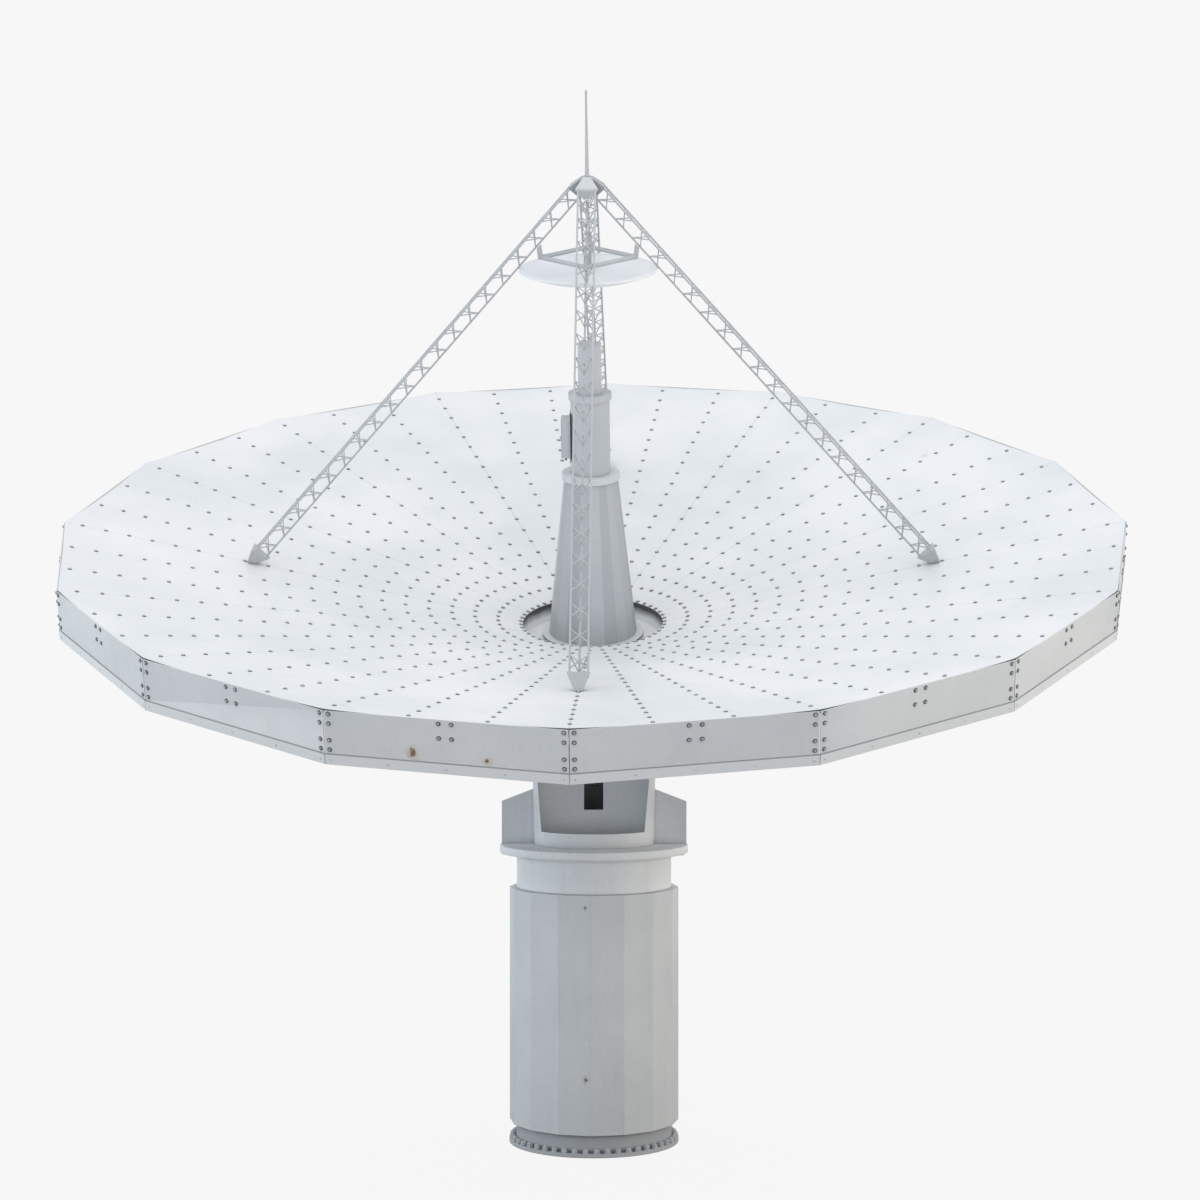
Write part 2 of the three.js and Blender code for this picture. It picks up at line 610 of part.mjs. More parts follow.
const LEG_NAMES = ['front', 'right', 'back', 'left'];
LEG_NAMES.forEach((name, i) => {
  const azimuth = -Math.PI / 2 + i * Math.PI / 2;
  addPart(reflector, `leg_${name}`, joined(legFoot(), ...lattice()).rotateZ(azimuth), 'truss');
  addPart(reflector, `main_rib_${name}`, mainRib().rotateZ(azimuth), 'pale');
});

// ---- apex: bracket with four caps, and the lightning spike ----
const APEX_TOP = 2938;
const CAP = {
  core: 40, coreFoot: 2790, top: { from: 28, to: 45, half: 29 },
  tip: { radius: 140, half: 91, top: 2864, bottom: 2848 }, foot: { from: 20, to: 60, half: 22, height: 2767 },
};

function apexBracket() {
  const { core, coreFoot, top, tip, foot } = CAP;
  const cap = hull([
    [top.from, top.half, APEX_TOP], [top.to, top.half, APEX_TOP], [tip.radius, tip.half, tip.top],
    [tip.radius, tip.half, tip.bottom], [foot.to, foot.half, foot.height], [foot.from, foot.half, coreFoot],
  ].flatMap(bothSides));
  const caps = LEG_NAMES.map((_, i) => cap.clone().rotateZ(i * Math.PI / 2));
  return joined(disc(core, coreFoot, APEX_TOP, 8), ...caps);
}

function lightningSpike() {
  const foot = APEX_TOP + GAP;
  return clean(turned([
    [0, foot], [18, foot], [7, foot + 660], [10, foot + 670], [7, foot + 688], [0, foot + 692],
  ], 8));
}

addPart(reflector, 'apex_bracket', apexBracket(), 'pale');
addPart(reflector, 'lightning_spike', lightningSpike(), 'truss');

// ---- subreflector and the square frame that hangs it from the legs ----
const SUBREFLECTOR = { radius: 563, rim: 2183, depth: 112, wall: 12, rimHeight: 8, rimWidth: 14 };
const FRAME_CORNER = { radius: 389, height: 2279 };
const BEAM = 30;
const STRUT = { foot: [366, 408], innerHead: [382, 2384], outerHead: [417, 2349], half: 19 };

const POST_RADIUS = 14;          // the front and back corners stand on the bowl

const bowl = (radius) => SUBREFLECTOR.rim - SUBREFLECTOR.depth * (1 - (radius / SUBREFLECTOR.radius) ** 2);

function subreflector() {
  const radii = [0, 0.3, 0.55, 0.78, 1].map((share) => share * SUBREFLECTOR.radius);
  const under = radii.map((radius) => [radius, bowl(radius) - SUBREFLECTOR.wall]);
  const over = radii.slice(0, -1).map((radius) => [radius, bowl(radius)]).reverse();
  const { radius: lip, rim, rimHeight, rimWidth } = SUBREFLECTOR;
  return clean(turned([...under, [lip, rim + rimHeight], [lip - rimWidth, rim + rimHeight], ...over], 32));
}

function subreflectorFrame() {
  const { radius, height } = FRAME_CORNER;
  const half = BEAM / 2;
  const corners = LEG_NAMES.map((_, i) => polar(radius, -Math.PI / 2 + i * Math.PI / 2));
  const pieces = [];
  corners.forEach(([x, y], i) => {
    const [nextX, nextY] = corners[(i + 1) % corners.length];
    const azimuth = -Math.PI / 2 + i * Math.PI / 2;
    pieces.push(bar(vec(x, y, height), vec(nextX, nextY, height), BEAM * 1.3, 4));
    const strut = hull([
      ...STRUT.foot.map((at) => [at, STRUT.half, height - half]),
      ...[STRUT.innerHead, STRUT.outerHead].map(([at, top]) => [at, STRUT.half, top]),
    ].flatMap(bothSides));
    pieces.push(strut.rotateZ(azimuth));
    if (i % 2 === 0) {
      const post = disc(POST_RADIUS, bowl(radius + POST_RADIUS) + 4, height, 8).translate(radius, 0, 0);
      pieces.push(post.rotateZ(azimuth));
    }
  });
  return joined(...pieces);
}

addPart(reflector, 'subreflector', subreflector(), 'white');
addPart(reflector, 'subreflector_frame', subreflectorFrame(), 'truss');

export default antenna;
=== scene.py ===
import json
import math
import random

import bmesh
import bpy
from mathutils import Matrix, Vector


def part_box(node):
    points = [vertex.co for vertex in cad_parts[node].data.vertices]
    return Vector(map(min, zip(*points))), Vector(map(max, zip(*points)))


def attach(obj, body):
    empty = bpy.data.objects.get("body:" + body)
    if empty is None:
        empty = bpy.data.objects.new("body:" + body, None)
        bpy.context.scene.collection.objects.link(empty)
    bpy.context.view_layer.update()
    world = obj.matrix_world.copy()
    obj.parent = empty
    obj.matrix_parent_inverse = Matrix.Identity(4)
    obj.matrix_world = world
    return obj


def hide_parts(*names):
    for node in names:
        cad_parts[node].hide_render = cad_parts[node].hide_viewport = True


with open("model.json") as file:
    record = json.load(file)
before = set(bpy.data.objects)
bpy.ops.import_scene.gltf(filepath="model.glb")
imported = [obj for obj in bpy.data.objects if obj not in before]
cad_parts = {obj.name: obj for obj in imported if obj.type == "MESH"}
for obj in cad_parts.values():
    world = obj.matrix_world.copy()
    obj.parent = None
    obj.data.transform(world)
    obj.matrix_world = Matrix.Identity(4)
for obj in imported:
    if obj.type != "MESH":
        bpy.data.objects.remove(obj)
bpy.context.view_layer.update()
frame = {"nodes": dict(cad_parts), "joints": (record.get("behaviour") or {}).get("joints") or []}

rng = random.Random(7)

# ---- where things are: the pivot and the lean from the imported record, the rest as in the CAD ----
joints = {j["name"]: j for j in frame["joints"]}
PIVOT = Vector(joints["elevation"]["pos_m"])
door_axis = joints["box_door_hinge"]["axis"]        # runs down along the dish's axis
TILT = math.atan2(door_axis[1], -door_axis[2])
RIM_OVER_PIVOT = 1.710
DISH = Matrix.Translation(PIVOT) @ Matrix.Rotation(TILT, 4, "X") @ Matrix.Translation((0, 0, RIM_OVER_PIVOT))
WORLD = Matrix.Identity(4)
UP = (0, 0, 1)
PIECE_GAP = 0.001
NO_LENGTH = 1e-9                    # a radius below this is on the axis

SIDES = 16                          # of the rim and of the pedestal shaft
FACET = 2 * math.pi / SIDES
RIM_RADIUS = 4.5                    # at the corners
RIM_FACE = RIM_RADIUS * math.cos(FACET / 2)
RIM_HEIGHT = 0.403
LIP_HEIGHT = 0.082
LIP_PROUD = 0.006
SKIN_SLOPE = 0.2332
SKIN_EDGE_HEIGHT = 0.015
SKIN_THICKNESS = 0.003
SKIN_EDGE_RADIUS = RIM_RADIUS - 0.010
HUB_HOLE_RADIUS = 0.600
HUB_FLOOR = -1.057                  # heights on the dish are from the rim plane, along its axis
FRONT = -math.pi / 2
COLUMN = math.radians(7.5)          # bolt columns, three to a skin sheet
COLUMNS = 48
ROWS = 20
ROW_OUTER, ROW_STEP = 4.340, 0.1959
SMOOTH_SIDES = 96                   # of the large round shells on the dish
PEDESTAL_SIDES = 128                # of the large round shells below it


def polar(radius, angle, height=0.0):
    return Vector((radius * math.cos(angle), radius * math.sin(angle), height))


def skin_height(radius):
    return SKIN_EDGE_HEIGHT - SKIN_SLOPE * (RIM_RADIUS - radius)


def rim_edge(angle, corner_radius):
    """How far out the rim's flat sides are in a direction, for its corners' radius."""
    off = (angle - FRONT) % FACET - FACET / 2
    return corner_radius * math.cos(FACET / 2) / math.cos(off)


# ---- mesh helpers ----
WASHER_SIDES = 14
THIN_SHARE = 0.22                   # a washer's thickness and a head's chamfer, of the head's height
HEAD_TOP_SHARE = 0.78               # a head's flat top, of its radius
SAME_POINT = 1e-6
WELD_REACH = 1e-5
EASED_ANGLE = math.radians(38)      # edges sharper than this are eased


class Shape:
    """Points and faces of closed shells, gathered before they become one mesh."""

    def __init__(self):
        self.points = []
        self.faces = []

    def add(self, points, faces):
        base = len(self.points)
        self.points.extend(Vector(p) for p in points)
        self.faces.extend([base + i for i in face] for face in faces)

    def turned(self, outline, sides, place=WORLD):
        """A shell turned about Z. The outline is (radius, height), closed, or open from axis to axis."""
        rings, points = [], []
        for radius, height in outline:
            if radius < NO_LENGTH:
                rings.append([len(points)])
                points.append(place @ Vector((0, 0, height)))
            else:
                rings.append(list(range(len(points), len(points) + sides)))
                for i in range(sides):
                    points.append(place @ polar(radius, 2 * math.pi * i / sides, height))
        faces = []
        pairs = list(zip(rings, rings[1:]))
        if len(rings[0]) > 1:       # an outline that doesn't start on the axis closes on itself
            pairs.append((rings[-1], rings[0]))
        for low, high in pairs:
            for i in range(sides):
                j = (i + 1) % sides
                if len(low) == 1 and len(high) == 1:
                    continue
                if len(low) == 1:
                    faces.append([low[0], high[j], high[i]])
                elif len(high) == 1:
                    faces.append([low[i], low[j], high[0]])
                else:
                    faces.append([low[i], low[j], high[j], high[i]])
        self.add(points, faces)

    def joined(self, points):
        """A closed shell between two outlines of as many points, the one after the other in the list."""
        n = len(points) // 2
        faces = [[i, (i + 1) % n, n + (i + 1) % n, n + i] for i in range(n)]
        faces += [list(range(n - 1, -1, -1)), list(range(n, 2 * n))]
        self.add(points, faces)

    def rod(self, start, end, radius, sides, end_radius=None):
        along = (end - start).normalized()
        across = along.orthogonal().normalized()
        other = along.cross(across)
        last = radius if end_radius is None else end_radius
        points = []
        for centre, size in ((start, radius), (end, last)):
            for i in range(sides):
                a = 2 * math.pi * (i + 0.5) / sides
                points.append(centre + size * (math.cos(a) * across + math.sin(a) * other))
        self.joined(points)

    def block(self, low, high, place=WORLD):
        (x0, y0, z0), (x1, y1, z1) = low, high
        outline = [(x0, y0), (x1, y0), (x1, y1), (x0, y1)]
        self.joined([place @ Vector((x, y, z)) for z in (z0, z1) for x, y in outline])

    def hull(self, points, place=WORLD):
        work = bmesh.new()
        for p in points:
            work.verts.new(place @ Vector(p))
        made = bmesh.ops.convex_hull(work, input=work.verts[:])
        inside = [g for g in made["geom_interior"] if isinstance(g, bmesh.types.BMVert)]
        bmesh.ops.delete(work, geom=inside, context="VERTS")
        work.verts.index_update()
        self.add([v.co for v in work.verts], [[v.index for v in f.verts] for f in work.faces])
        work.free()

    def washer(self, place, radius, height):
        outline = [(0, -PIECE_GAP), (radius, -PIECE_GAP), (radius, height), (0, height)]
        self.turned(outline, WASHER_SIDES, place)

    def bolt(self, place, radius, height, washer=0.0, foot=0.0, sides=6):
        """A chamfered bolt head over the place's XY plane, on its own washer or starting at a foot height."""
        if washer:
            foot = height * THIN_SHARE
            self.washer(place, washer, foot)
        top, chamfer = foot + height, height * THIN_SHARE
        outline = [(0, foot - PIECE_GAP), (radius, foot - PIECE_GAP), (radius, top - chamfer),
                   (radius * HEAD_TOP_SHARE, top), (0, top)]
        self.turned(outline, sides, place)


def on_surface(point, normal, spin=0.0):
    """A place at a point whose Z is the surface's normal."""
    turn = Vector(normal).normalized().to_track_quat("Z", "Y").to_matrix().to_4x4()
    return Matrix.Translation(point) @ turn @ Matrix.Rotation(spin, 4, "Z")


def soften(obj, width):
    bevel = obj.modifiers.new("edges", "BEVEL")
    bevel.width = width
    bevel.segments = 2
    bevel.limit_method = "ANGLE"
    bevel.angle_limit = EASED_ANGLE
    bevel.harden_normals = True


def piece(name, shape, body, material, smooth=32, bevel=0.0, replaces=()):
    """Turns a gathered shape into one object that rides on a body. Edges over smooth degrees stay sharp."""
    mesh = bpy.data.meshes.new(name)
    mesh.from_pydata([tuple(p) for p in shape.points], [], shape.faces)
    work = bmesh.new()
    work.from_mesh(mesh)
    bmesh.ops.remove_doubles(work, verts=work.verts, dist=SAME_POINT)
    bmesh.ops.recalc_face_normals(work, faces=work.faces)
    work.to_mesh(mesh)
    work.free()
    mesh.polygons.foreach_set("use_smooth", [True] * len(mesh.polygons))
    mesh.set_sharp_from_angle(angle=math.radians(smooth))
    obj = bpy.data.objects.new(name, mesh)
    bpy.context.scene.collection.objects.link(obj)
    obj.data.materials.append(material)
    if bevel:
        soften(obj, bevel)
    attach(obj, body)
    if replaces:
        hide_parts(*replaces)


def keep(node, material, bevel=0.0):
    """Gives a CAD node that stays a finished material and eased edges."""
    obj = frame["nodes"][node]
    obj.data.materials.clear()
    obj.data.materials.append(material)
    if bevel:
        weld = obj.modifiers.new("weld", "WELD")
        weld.merge_threshold = WELD_REACH
        soften(obj, bevel)


# ---- materials ----
class Recipe:
    """A node material under construction."""

    def __init__(self, name):
        self.material = bpy.data.materials.new(name)
        self.material.use_nodes = True
        self.tree = self.material.node_tree
        self.tree.nodes.clear()
        self.shader = self.node("ShaderNodeBsdfPrincipled")
        output = self.node("ShaderNodeOutputMaterial")
        self.tree.links.new(self.shader.outputs["BSDF"], output.inputs["Surface"])
        self.where = self.node("ShaderNodeTexCoord").outputs["Object"]

    def node(self, kind, sockets=None, **settings):
        made = self.tree.nodes.new(kind)
        for key, value in settings.items():
            setattr(made, key, value)
        for key, value in (sockets or {}).items():
            if isinstance(value, bpy.types.NodeSocket):
                self.tree.links.new(value, made.inputs[key])
            else:
                made.inputs[key].default_value = value
        return made

    def stretched(self, scale, offset=(0, 0, 0)):
        sockets = {"Vector": self.where, "Scale": scale, "Location": offset}
        return self.node("ShaderNodeMapping", sockets).outputs[0]

    def noise(self, scale, detail=3.0, rough=0.55, vector=None):
        sockets = {"Vector": vector or self.where, "Scale": scale, "Detail": detail, "Roughness": rough}
        return self.node("ShaderNodeTexNoise", sockets).outputs["Fac"]

    def span(self, value, low, high, to_low=0.0, to_high=1.0):
        sockets = {"Value": value, "From Min": low, "From Max": high, "To Min": to_low, "To Max": to_high}
        return self.node("ShaderNodeMapRange", sockets, clamp=True).outputs[0]

    def maths(self, operation, a, b=0.0):
        return self.node("ShaderNodeMath", {0: a, 1: b}, operation=operation).outputs[0]

    def vector_maths(self, operation, output, *vectors):
        made = self.node("ShaderNodeVectorMath", dict(enumerate(vectors)), operation=operation)
        return made.outputs[output]

    def apart(self):
        """The X, Y and Z of the point."""
        return self.node("ShaderNodeSeparateXYZ", {0: self.where}).outputs

    def mix(self, share, a, b, blend="MIX"):
        made = self.node("ShaderNodeMix", {0: share, 6: a, 7: b}, data_type="RGBA", blend_type=blend)
        return made.outputs[2]

    def shaded(self, colour, factor):
        """A colour times a number."""
        tone = self.node("ShaderNodeCombineColor", {0: factor, 1: factor, 2: factor}).outputs[0]
        return self.mix(1.0, colour, tone, "MULTIPLY")

    def spot(self, centre, radius, ragged=0.5, grain=30.0):
        """1 inside a ragged blob round a point, fading to 0 at its edge."""
        away = self.vector_maths("DISTANCE", "Value", self.where, centre)
        ragged_by = self.span(self.noise(grain), 0.3, 0.7, -ragged * radius, ragged * radius)
        torn = self.maths("ADD", away, ragged_by)
        return self.span(torn, radius, radius * 0.35)

    def use(self, socket, value):
        if isinstance(value, bpy.types.NodeSocket):
            self.tree.links.new(value, self.shader.inputs[socket])
        else:
            self.shader.inputs[socket].default_value = value

    def bumps(self, *layers):
        """Layers of (height, distance): each adds its relief to the surface."""
        normal = None
        for height, distance in layers:
            sockets = {"Height": height, "Distance": distance, "Strength": 1.0}
            if normal:
                sockets["Normal"] = normal
            normal = self.node("ShaderNodeBump", sockets).outputs["Normal"]
        self.use("Normal", normal)


def grey(value, cool=0.0):
    return (value - cool * 0.5, value, value + cool, 1.0)


RUST = (0.17, 0.090, 0.038, 1.0)
RUST_HALO = (0.52, 0.40, 0.24, 1.0)
RUST_SMEAR = (0.74, 0.54, 0.30, 1.0)
STAIN = (0.56, 0.50, 0.38, 1.0)
RUN_OFF = (0.42, 0.42, 0.39, 1.0)
CORNER_SHADE = (0.30, 0.30, 0.28, 1.0)
CORNER_REACH = 0.05
GREASE = (0.035, 0.03, 0.022, 1.0)


def painted(name, colour, speckle=0.05, streaks=0.06, stains=0.5, roughness=0.5, corner_shade=0.5,
            rust_spots=(), zones=()):
    """Outdoor paint on sheet metal: uneven fading, fine speckle, run-off streaks, stains, and painted shade
    darkening its corners and creases.

    Zones are (function of the recipe, colour): where the function gives 1, the paint has that colour."""
    r = Recipe(name)
    cloudy = r.span(r.noise(0.8, 4.0), 0.35, 0.65)
    faded = tuple(min(1.0, c * 1.05) for c in colour[:3]) + (1.0,)
    dull = tuple(c * (0.95 - 0.01 * i) for i, c in enumerate(reversed(colour[:3])))[::-1] + (1.0,)
    base = r.mix(cloudy, faded, dull)
    fine = r.span(r.noise(75.0, 2.0, 0.7), 0.3, 0.7, 1.0 - speckle, 1.0 + speckle)
    base = r.shaded(base, fine)
    run = r.noise(1.0, 4.0, 0.6, r.stretched((9.0, 9.0, 0.55)))
    run = r.span(run, 0.54, 0.78, 0.0, streaks * 4)
    base = r.mix(run, base, RUN_OFF)
    patch = r.node("ShaderNodeTexVoronoi", {"Vector": r.where, "Scale": 1.15}).outputs["Distance"]
    patch = r.span(r.maths("ADD", patch, r.span(r.noise(14.0, 4.0), 0.3, 0.7, -0.03, 0.03)), 0.07, 0.015)
    chosen = r.span(r.noise(0.9, 1.0, 0.5, r.stretched((1, 1, 1), (5, 2, 8))), 0.52, 0.6, 0.0, stains)
    base = r.mix(r.maths("MULTIPLY", patch, chosen), base, STAIN)
    # Painted shade: ambient occlusion darkens the paint in corners and creases.
    corner = r.node("ShaderNodeAmbientOcclusion", {"Distance": CORNER_REACH}, samples=3).outputs["AO"]
    corner_shaded = r.span(corner, 0.75, 0.25, 0.0, corner_shade)
    base = r.mix(corner_shaded, base, CORNER_SHADE)
    for zone, other in zones:
        base = r.mix(zone(r), base, other)
    rough = r.span(r.noise(6.0, 4.0), 0.3, 0.7, roughness - 0.07, roughness + 0.09)
    for centre, radius in rust_spots:
        halo = r.spot(centre, radius * 1.9, 0.5, 16.0)
        core = r.spot(centre, radius, 0.8, 34.0)
        base = r.mix(r.maths("MULTIPLY", halo, 0.42), base, RUST_HALO)
        base = r.mix(r.maths("MULTIPLY", core, 0.9), base, RUST)
        rough = r.maths("MAXIMUM", rough, r.maths("MULTIPLY", core, 0.85))
    r.use("Base Color", base)
    r.use("Roughness", rough)
    r.use("Specular IOR Level", 0.35)
    r.bumps((r.noise(3.2, 2.0), 0.004), (r.noise(160.0, 2.0), 0.0004))
    return r.material


def metal(name, colour, roughness=0.4, metallic=0.9, grease=0.0, scratch=40.0):
    """Machined or cast metal: brushed streaks, blotches and a little rust or grease."""
    r = Recipe(name)
    blotch = r.span(r.noise(9.0, 5.0), 0.35, 0.68)
    tarnished = tuple(c * 0.72 for c in colour[:3]) + (1.0,)
    base = r.mix(blotch, colour, tarnished)
    brushed = r.span(r.noise(scratch, 3.0, 0.6, r.stretched((1.0, 1.0, 9.0))), 0.3, 0.7, 0.9, 1.1)
    base = r.shaded(base, brushed)
    freckle = r.span(r.noise(55.0, 4.0, 0.7), 0.66, 0.76, 0.0, 0.5)
    base = r.mix(freckle, base, RUST)
    if grease:
        film = r.span(r.noise(14.0, 3.0), 0.4, 0.62, 0.0, grease)
        base = r.mix(film, base, GREASE)
    r.use("Base Color", base)
    r.use("Metallic", metallic)
    r.use("Roughness", r.span(r.noise(22.0, 4.0), 0.3, 0.7, roughness - 0.1, roughness + 0.15))
    r.bumps((r.noise(scratch * 3, 2.0), 0.0005))
    return r.material


# ---- places where the paint differs ----
LIP_EDGE = LIP_HEIGHT - RIM_HEIGHT      # where the lip turns out of the rim plate
LIP_BLUR = 0.001
WELL_LIGHT, WELL_DARK = 0.045, 0.125    # heights over the hub's floor between which painted shade darkens its wall
WELL_WAVE = 0.012
FLANGE_TOP = -0.974                     # of the feed cone's foot flange
CONE_SIDES = 20
FULL_TONE = 0.7                         # how far the darkest sheet of the cone goes to its second colour
CAP_MARGIN = 0.012
FOOT_TOP = 0.036                        # of the base plate's wide foot
FOOT_SHADE_FULL, FOOT_SHADE_NONE = 0.044, 0.062
DRUM_LOW, DRUM_HIGH, DRUM_WALL = 0.521, 0.548, 0.012
DRUM_FOOT, DRUM_TOP = 2.577, PIVOT.z + 0.150
SLOT_PLATE_BACK = -0.090
FIRST_LEFT = FRONT - FACET / 2          # middle of the rim plate left of the front corner
SMEAR_RADIUS, SMEAR_ANGLE = 2.44, FRONT + math.radians(221.4)
SMEAR = DISH @ polar(SMEAR_RADIUS, SMEAR_ANGLE, skin_height(SMEAR_RADIUS))
SMEAR_SIZE, SMEAR_SHARE = 0.022, 0.45


def rim_plate_point(middle, along, below_top, proud=0.0):
    """A dish point on a rim plate's outer face: along it from its middle, and down from its top edge."""
    out, across = polar(1, middle), polar(1, middle + math.pi / 2)
    return out * (RIM_FACE + proud) + across * along + Vector((0, 0, -below_top))


def in_dish(r, axis):
    """A coordinate in the dish's own frame: Z runs along the dish axis from the rim plane."""
    from_rim = r.vector_maths("SUBTRACT", 0, r.where, DISH.translation)
    return r.vector_maths("DOT_PRODUCT", "Value", from_rim, DISH.to_3x3() @ Vector(axis))


def on_lip(r):
    return r.span(in_dish(r, UP), LIP_EDGE + LIP_BLUR, LIP_EDGE - LIP_BLUR)


def lip_shadow_line(r):
    """A painted shadow line where the lip turns out of the rim plate."""
    height = in_dish(r, UP)
    above = r.span(height, LIP_EDGE + 0.003, LIP_EDGE)
    return r.maths("MULTIPLY", r.span(height, LIP_EDGE - 0.009, LIP_EDGE - 0.004), above)


# Painted shade: the hub well's wall darkens towards its top, under the skin's edge.
def well_shade(r):
    wave = r.span(r.noise(5.0, 4.0), 0.3, 0.7, -WELL_WAVE, WELL_WAVE)
    torn = r.maths("ADD", in_dish(r, UP), wave)
    return r.span(torn, HUB_FLOOR + WELL_LIGHT, HUB_FLOOR + WELL_DARK)


def flange_side_shade(r):
    """Painted shade: the cone's foot flange is dark round its edge, under the light top."""
    return r.span(in_dish(r, UP), FLANGE_TOP - 0.004, FLANGE_TOP - 0.007)


def foot_edge(r):
    """1 on the edge of the base plate's foot."""
    return r.span(r.apart()["Z"], FOOT_TOP - 0.0005, FOOT_TOP - 0.0015)


def foot_shade(r):
    """Painted shade on the base plate's foot between its nuts, and a little way up."""
    height = r.apart()["Z"]
    over = r.span(height, FOOT_TOP - 0.0015, FOOT_TOP - 0.0002)
    return r.maths("MULTIPLY", over, r.span(height, FOOT_SHADE_NONE, FOOT_SHADE_FULL))


def shaded_side_caps(r):
    """1 on the apex caps of the left and right legs, where painted shade darkens them."""
    across = r.maths("ABSOLUTE", in_dish(r, (1, 0, 0)))
    along = r.maths("ABSOLUTE", in_dish(r, (0, 1, 0)))
    return r.maths("GREATER_THAN", across, r.maths("ADD", along, CAP_MARGIN))


def odd_sheets(r):
    """A tone for each flat sheet of the feed cone."""
    angle = r.maths("ARCTAN2", in_dish(r, (0, 1, 0)), in_dish(r, (1, 0, 0)))
    sheet = r.maths("FLOOR", r.maths("MULTIPLY", angle, CONE_SIDES / (2 * math.pi)))
    seed = {"W": r.maths("ADD", sheet, 0.5)}
    tone = r.node("ShaderNodeTexWhiteNoise", seed, noise_dimensions="1D").outputs["Value"]
    return r.maths("MULTIPLY", tone, FULL_TONE)


def drum_inside_shade(r):
    """1 on the drum's inner face behind the slot plate, painted dark as shade."""
    at = r.apart()
    flat = r.node("ShaderNodeCombineXYZ", {0: at["X"], 1: at["Y"]}).outputs[0]
    radius = r.vector_maths("LENGTH", "Value", flat)
    half = DRUM_WALL / 2
    middle = r.span(at["Z"], DRUM_FOOT, DRUM_TOP, DRUM_LOW - half, DRUM_HIGH - half)
    within = r.maths("LESS_THAN", radius, middle)
    return r.maths("MULTIPLY", within, r.maths("GREATER_THAN", at["Y"], SLOT_PLATE_BACK))


def rusty_smear(r):
    return r.maths("MULTIPLY", r.spot(SMEAR, SMEAR_SIZE, 0.5, 16.0), SMEAR_SHARE)


# ---- the paints and metals ----
RIM_RUST = [(DISH @ rim_plate_point(FIRST_LEFT, -0.24, 0.262), 0.035),
            (DISH @ rim_plate_point(FIRST_LEFT, 0.30, 0.285), 0.022)]
PEDESTAL_RUST = [(Vector((-0.05, -0.735, 0.655)), 0.024), (Vector((-0.05, -0.735, 2.10)), 0.014)]
WEATHERED_AND_SHADED = dict(speckle=0.05, streaks=0.04, stains=0.4, roughness=0.55, corner_shade=0.5)
FEED_WEAR_AND_SHADE = dict(speckle=0.03, streaks=0.02, stains=0.3, corner_shade=0.5)

SKIN_PAINT = painted(
    "skin_paint", grey(0.735, 0.018), speckle=0.02, streaks=0.0, stains=0.5, roughness=0.42, corner_shade=0.6,
    zones=[(rusty_smear, RUST_SMEAR)])
RIM_PAINT = painted(
    "rim_paint", grey(0.615, 0.012), speckle=0.04, streaks=0.03, stains=0.6, roughness=0.5, corner_shade=0.6,
    rust_spots=RIM_RUST, zones=[(on_lip, grey(0.67, 0.012)), (lip_shadow_line, grey(0.30, 0.012))])
PEDESTAL_PAINT = painted("pedestal_paint", grey(0.80, 0.02), rust_spots=PEDESTAL_RUST, **WEATHERED_AND_SHADED)
# Near white, lighter than the pedestal paint: painted light on the deck under the dish.
DECK_PAINT = painted(
    "deck_paint", grey(0.97, 0.02), speckle=0.05, streaks=0.03, stains=0.4, roughness=0.55, corner_shade=0.4)
DRUM_PAINT = painted("drum_paint", grey(0.78, 0.02), zones=[(drum_inside_shade, grey(0.30))], **WEATHERED_AND_SHADED)
# Darker than the pedestal paint: painted shade at the pedestal's foot.
PLINTH_PAINT = painted(
    "plinth_paint", grey(0.50, 0.02), speckle=0.05, streaks=0.05, stains=0.4, roughness=0.6, corner_shade=0.6,
    zones=[(foot_edge, grey(0.58, 0.02)), (foot_shade, grey(0.25, 0.02))])
SLOT_PAINT = painted(
    "slot_paint", grey(0.66, 0.02), speckle=0.08, streaks=0.03, stains=0.4, roughness=0.6, corner_shade=0.5)
# Lighter than the pedestal paint: painted light on the collar under the dish.
COLLAR_PAINT = painted("collar_paint", grey(0.90, 0.02), **WEATHERED_AND_SHADED)
CONE_PAINT = painted(
    "cone_paint", grey(0.51, 0.025), roughness=0.4, zones=[(odd_sheets, grey(0.30, 0.02))], **FEED_WEAR_AND_SHADE)
APEX_PAINT = painted(
    "apex_paint", grey(0.56, 0.025), speckle=0.03, streaks=0.0, stains=0.2, roughness=0.45, corner_shade=0.4,
    zones=[(shaded_side_caps, grey(0.36, 0.02))])
FEED_PAINT = painted("feed_paint", grey(0.50, 0.025), roughness=0.45, **FEED_WEAR_AND_SHADE)
TRUSS_PAINT = painted(
    "truss_paint", grey(0.46, 0.02), speckle=0.04, streaks=0.0, stains=0.2, roughness=0.45, corner_shade=0.3)
UNDER_PAINT = painted(
    "under_paint", grey(0.50, 0.01), speckle=0.05, streaks=0.04, stains=0.5, roughness=0.6, corner_shade=0.8)
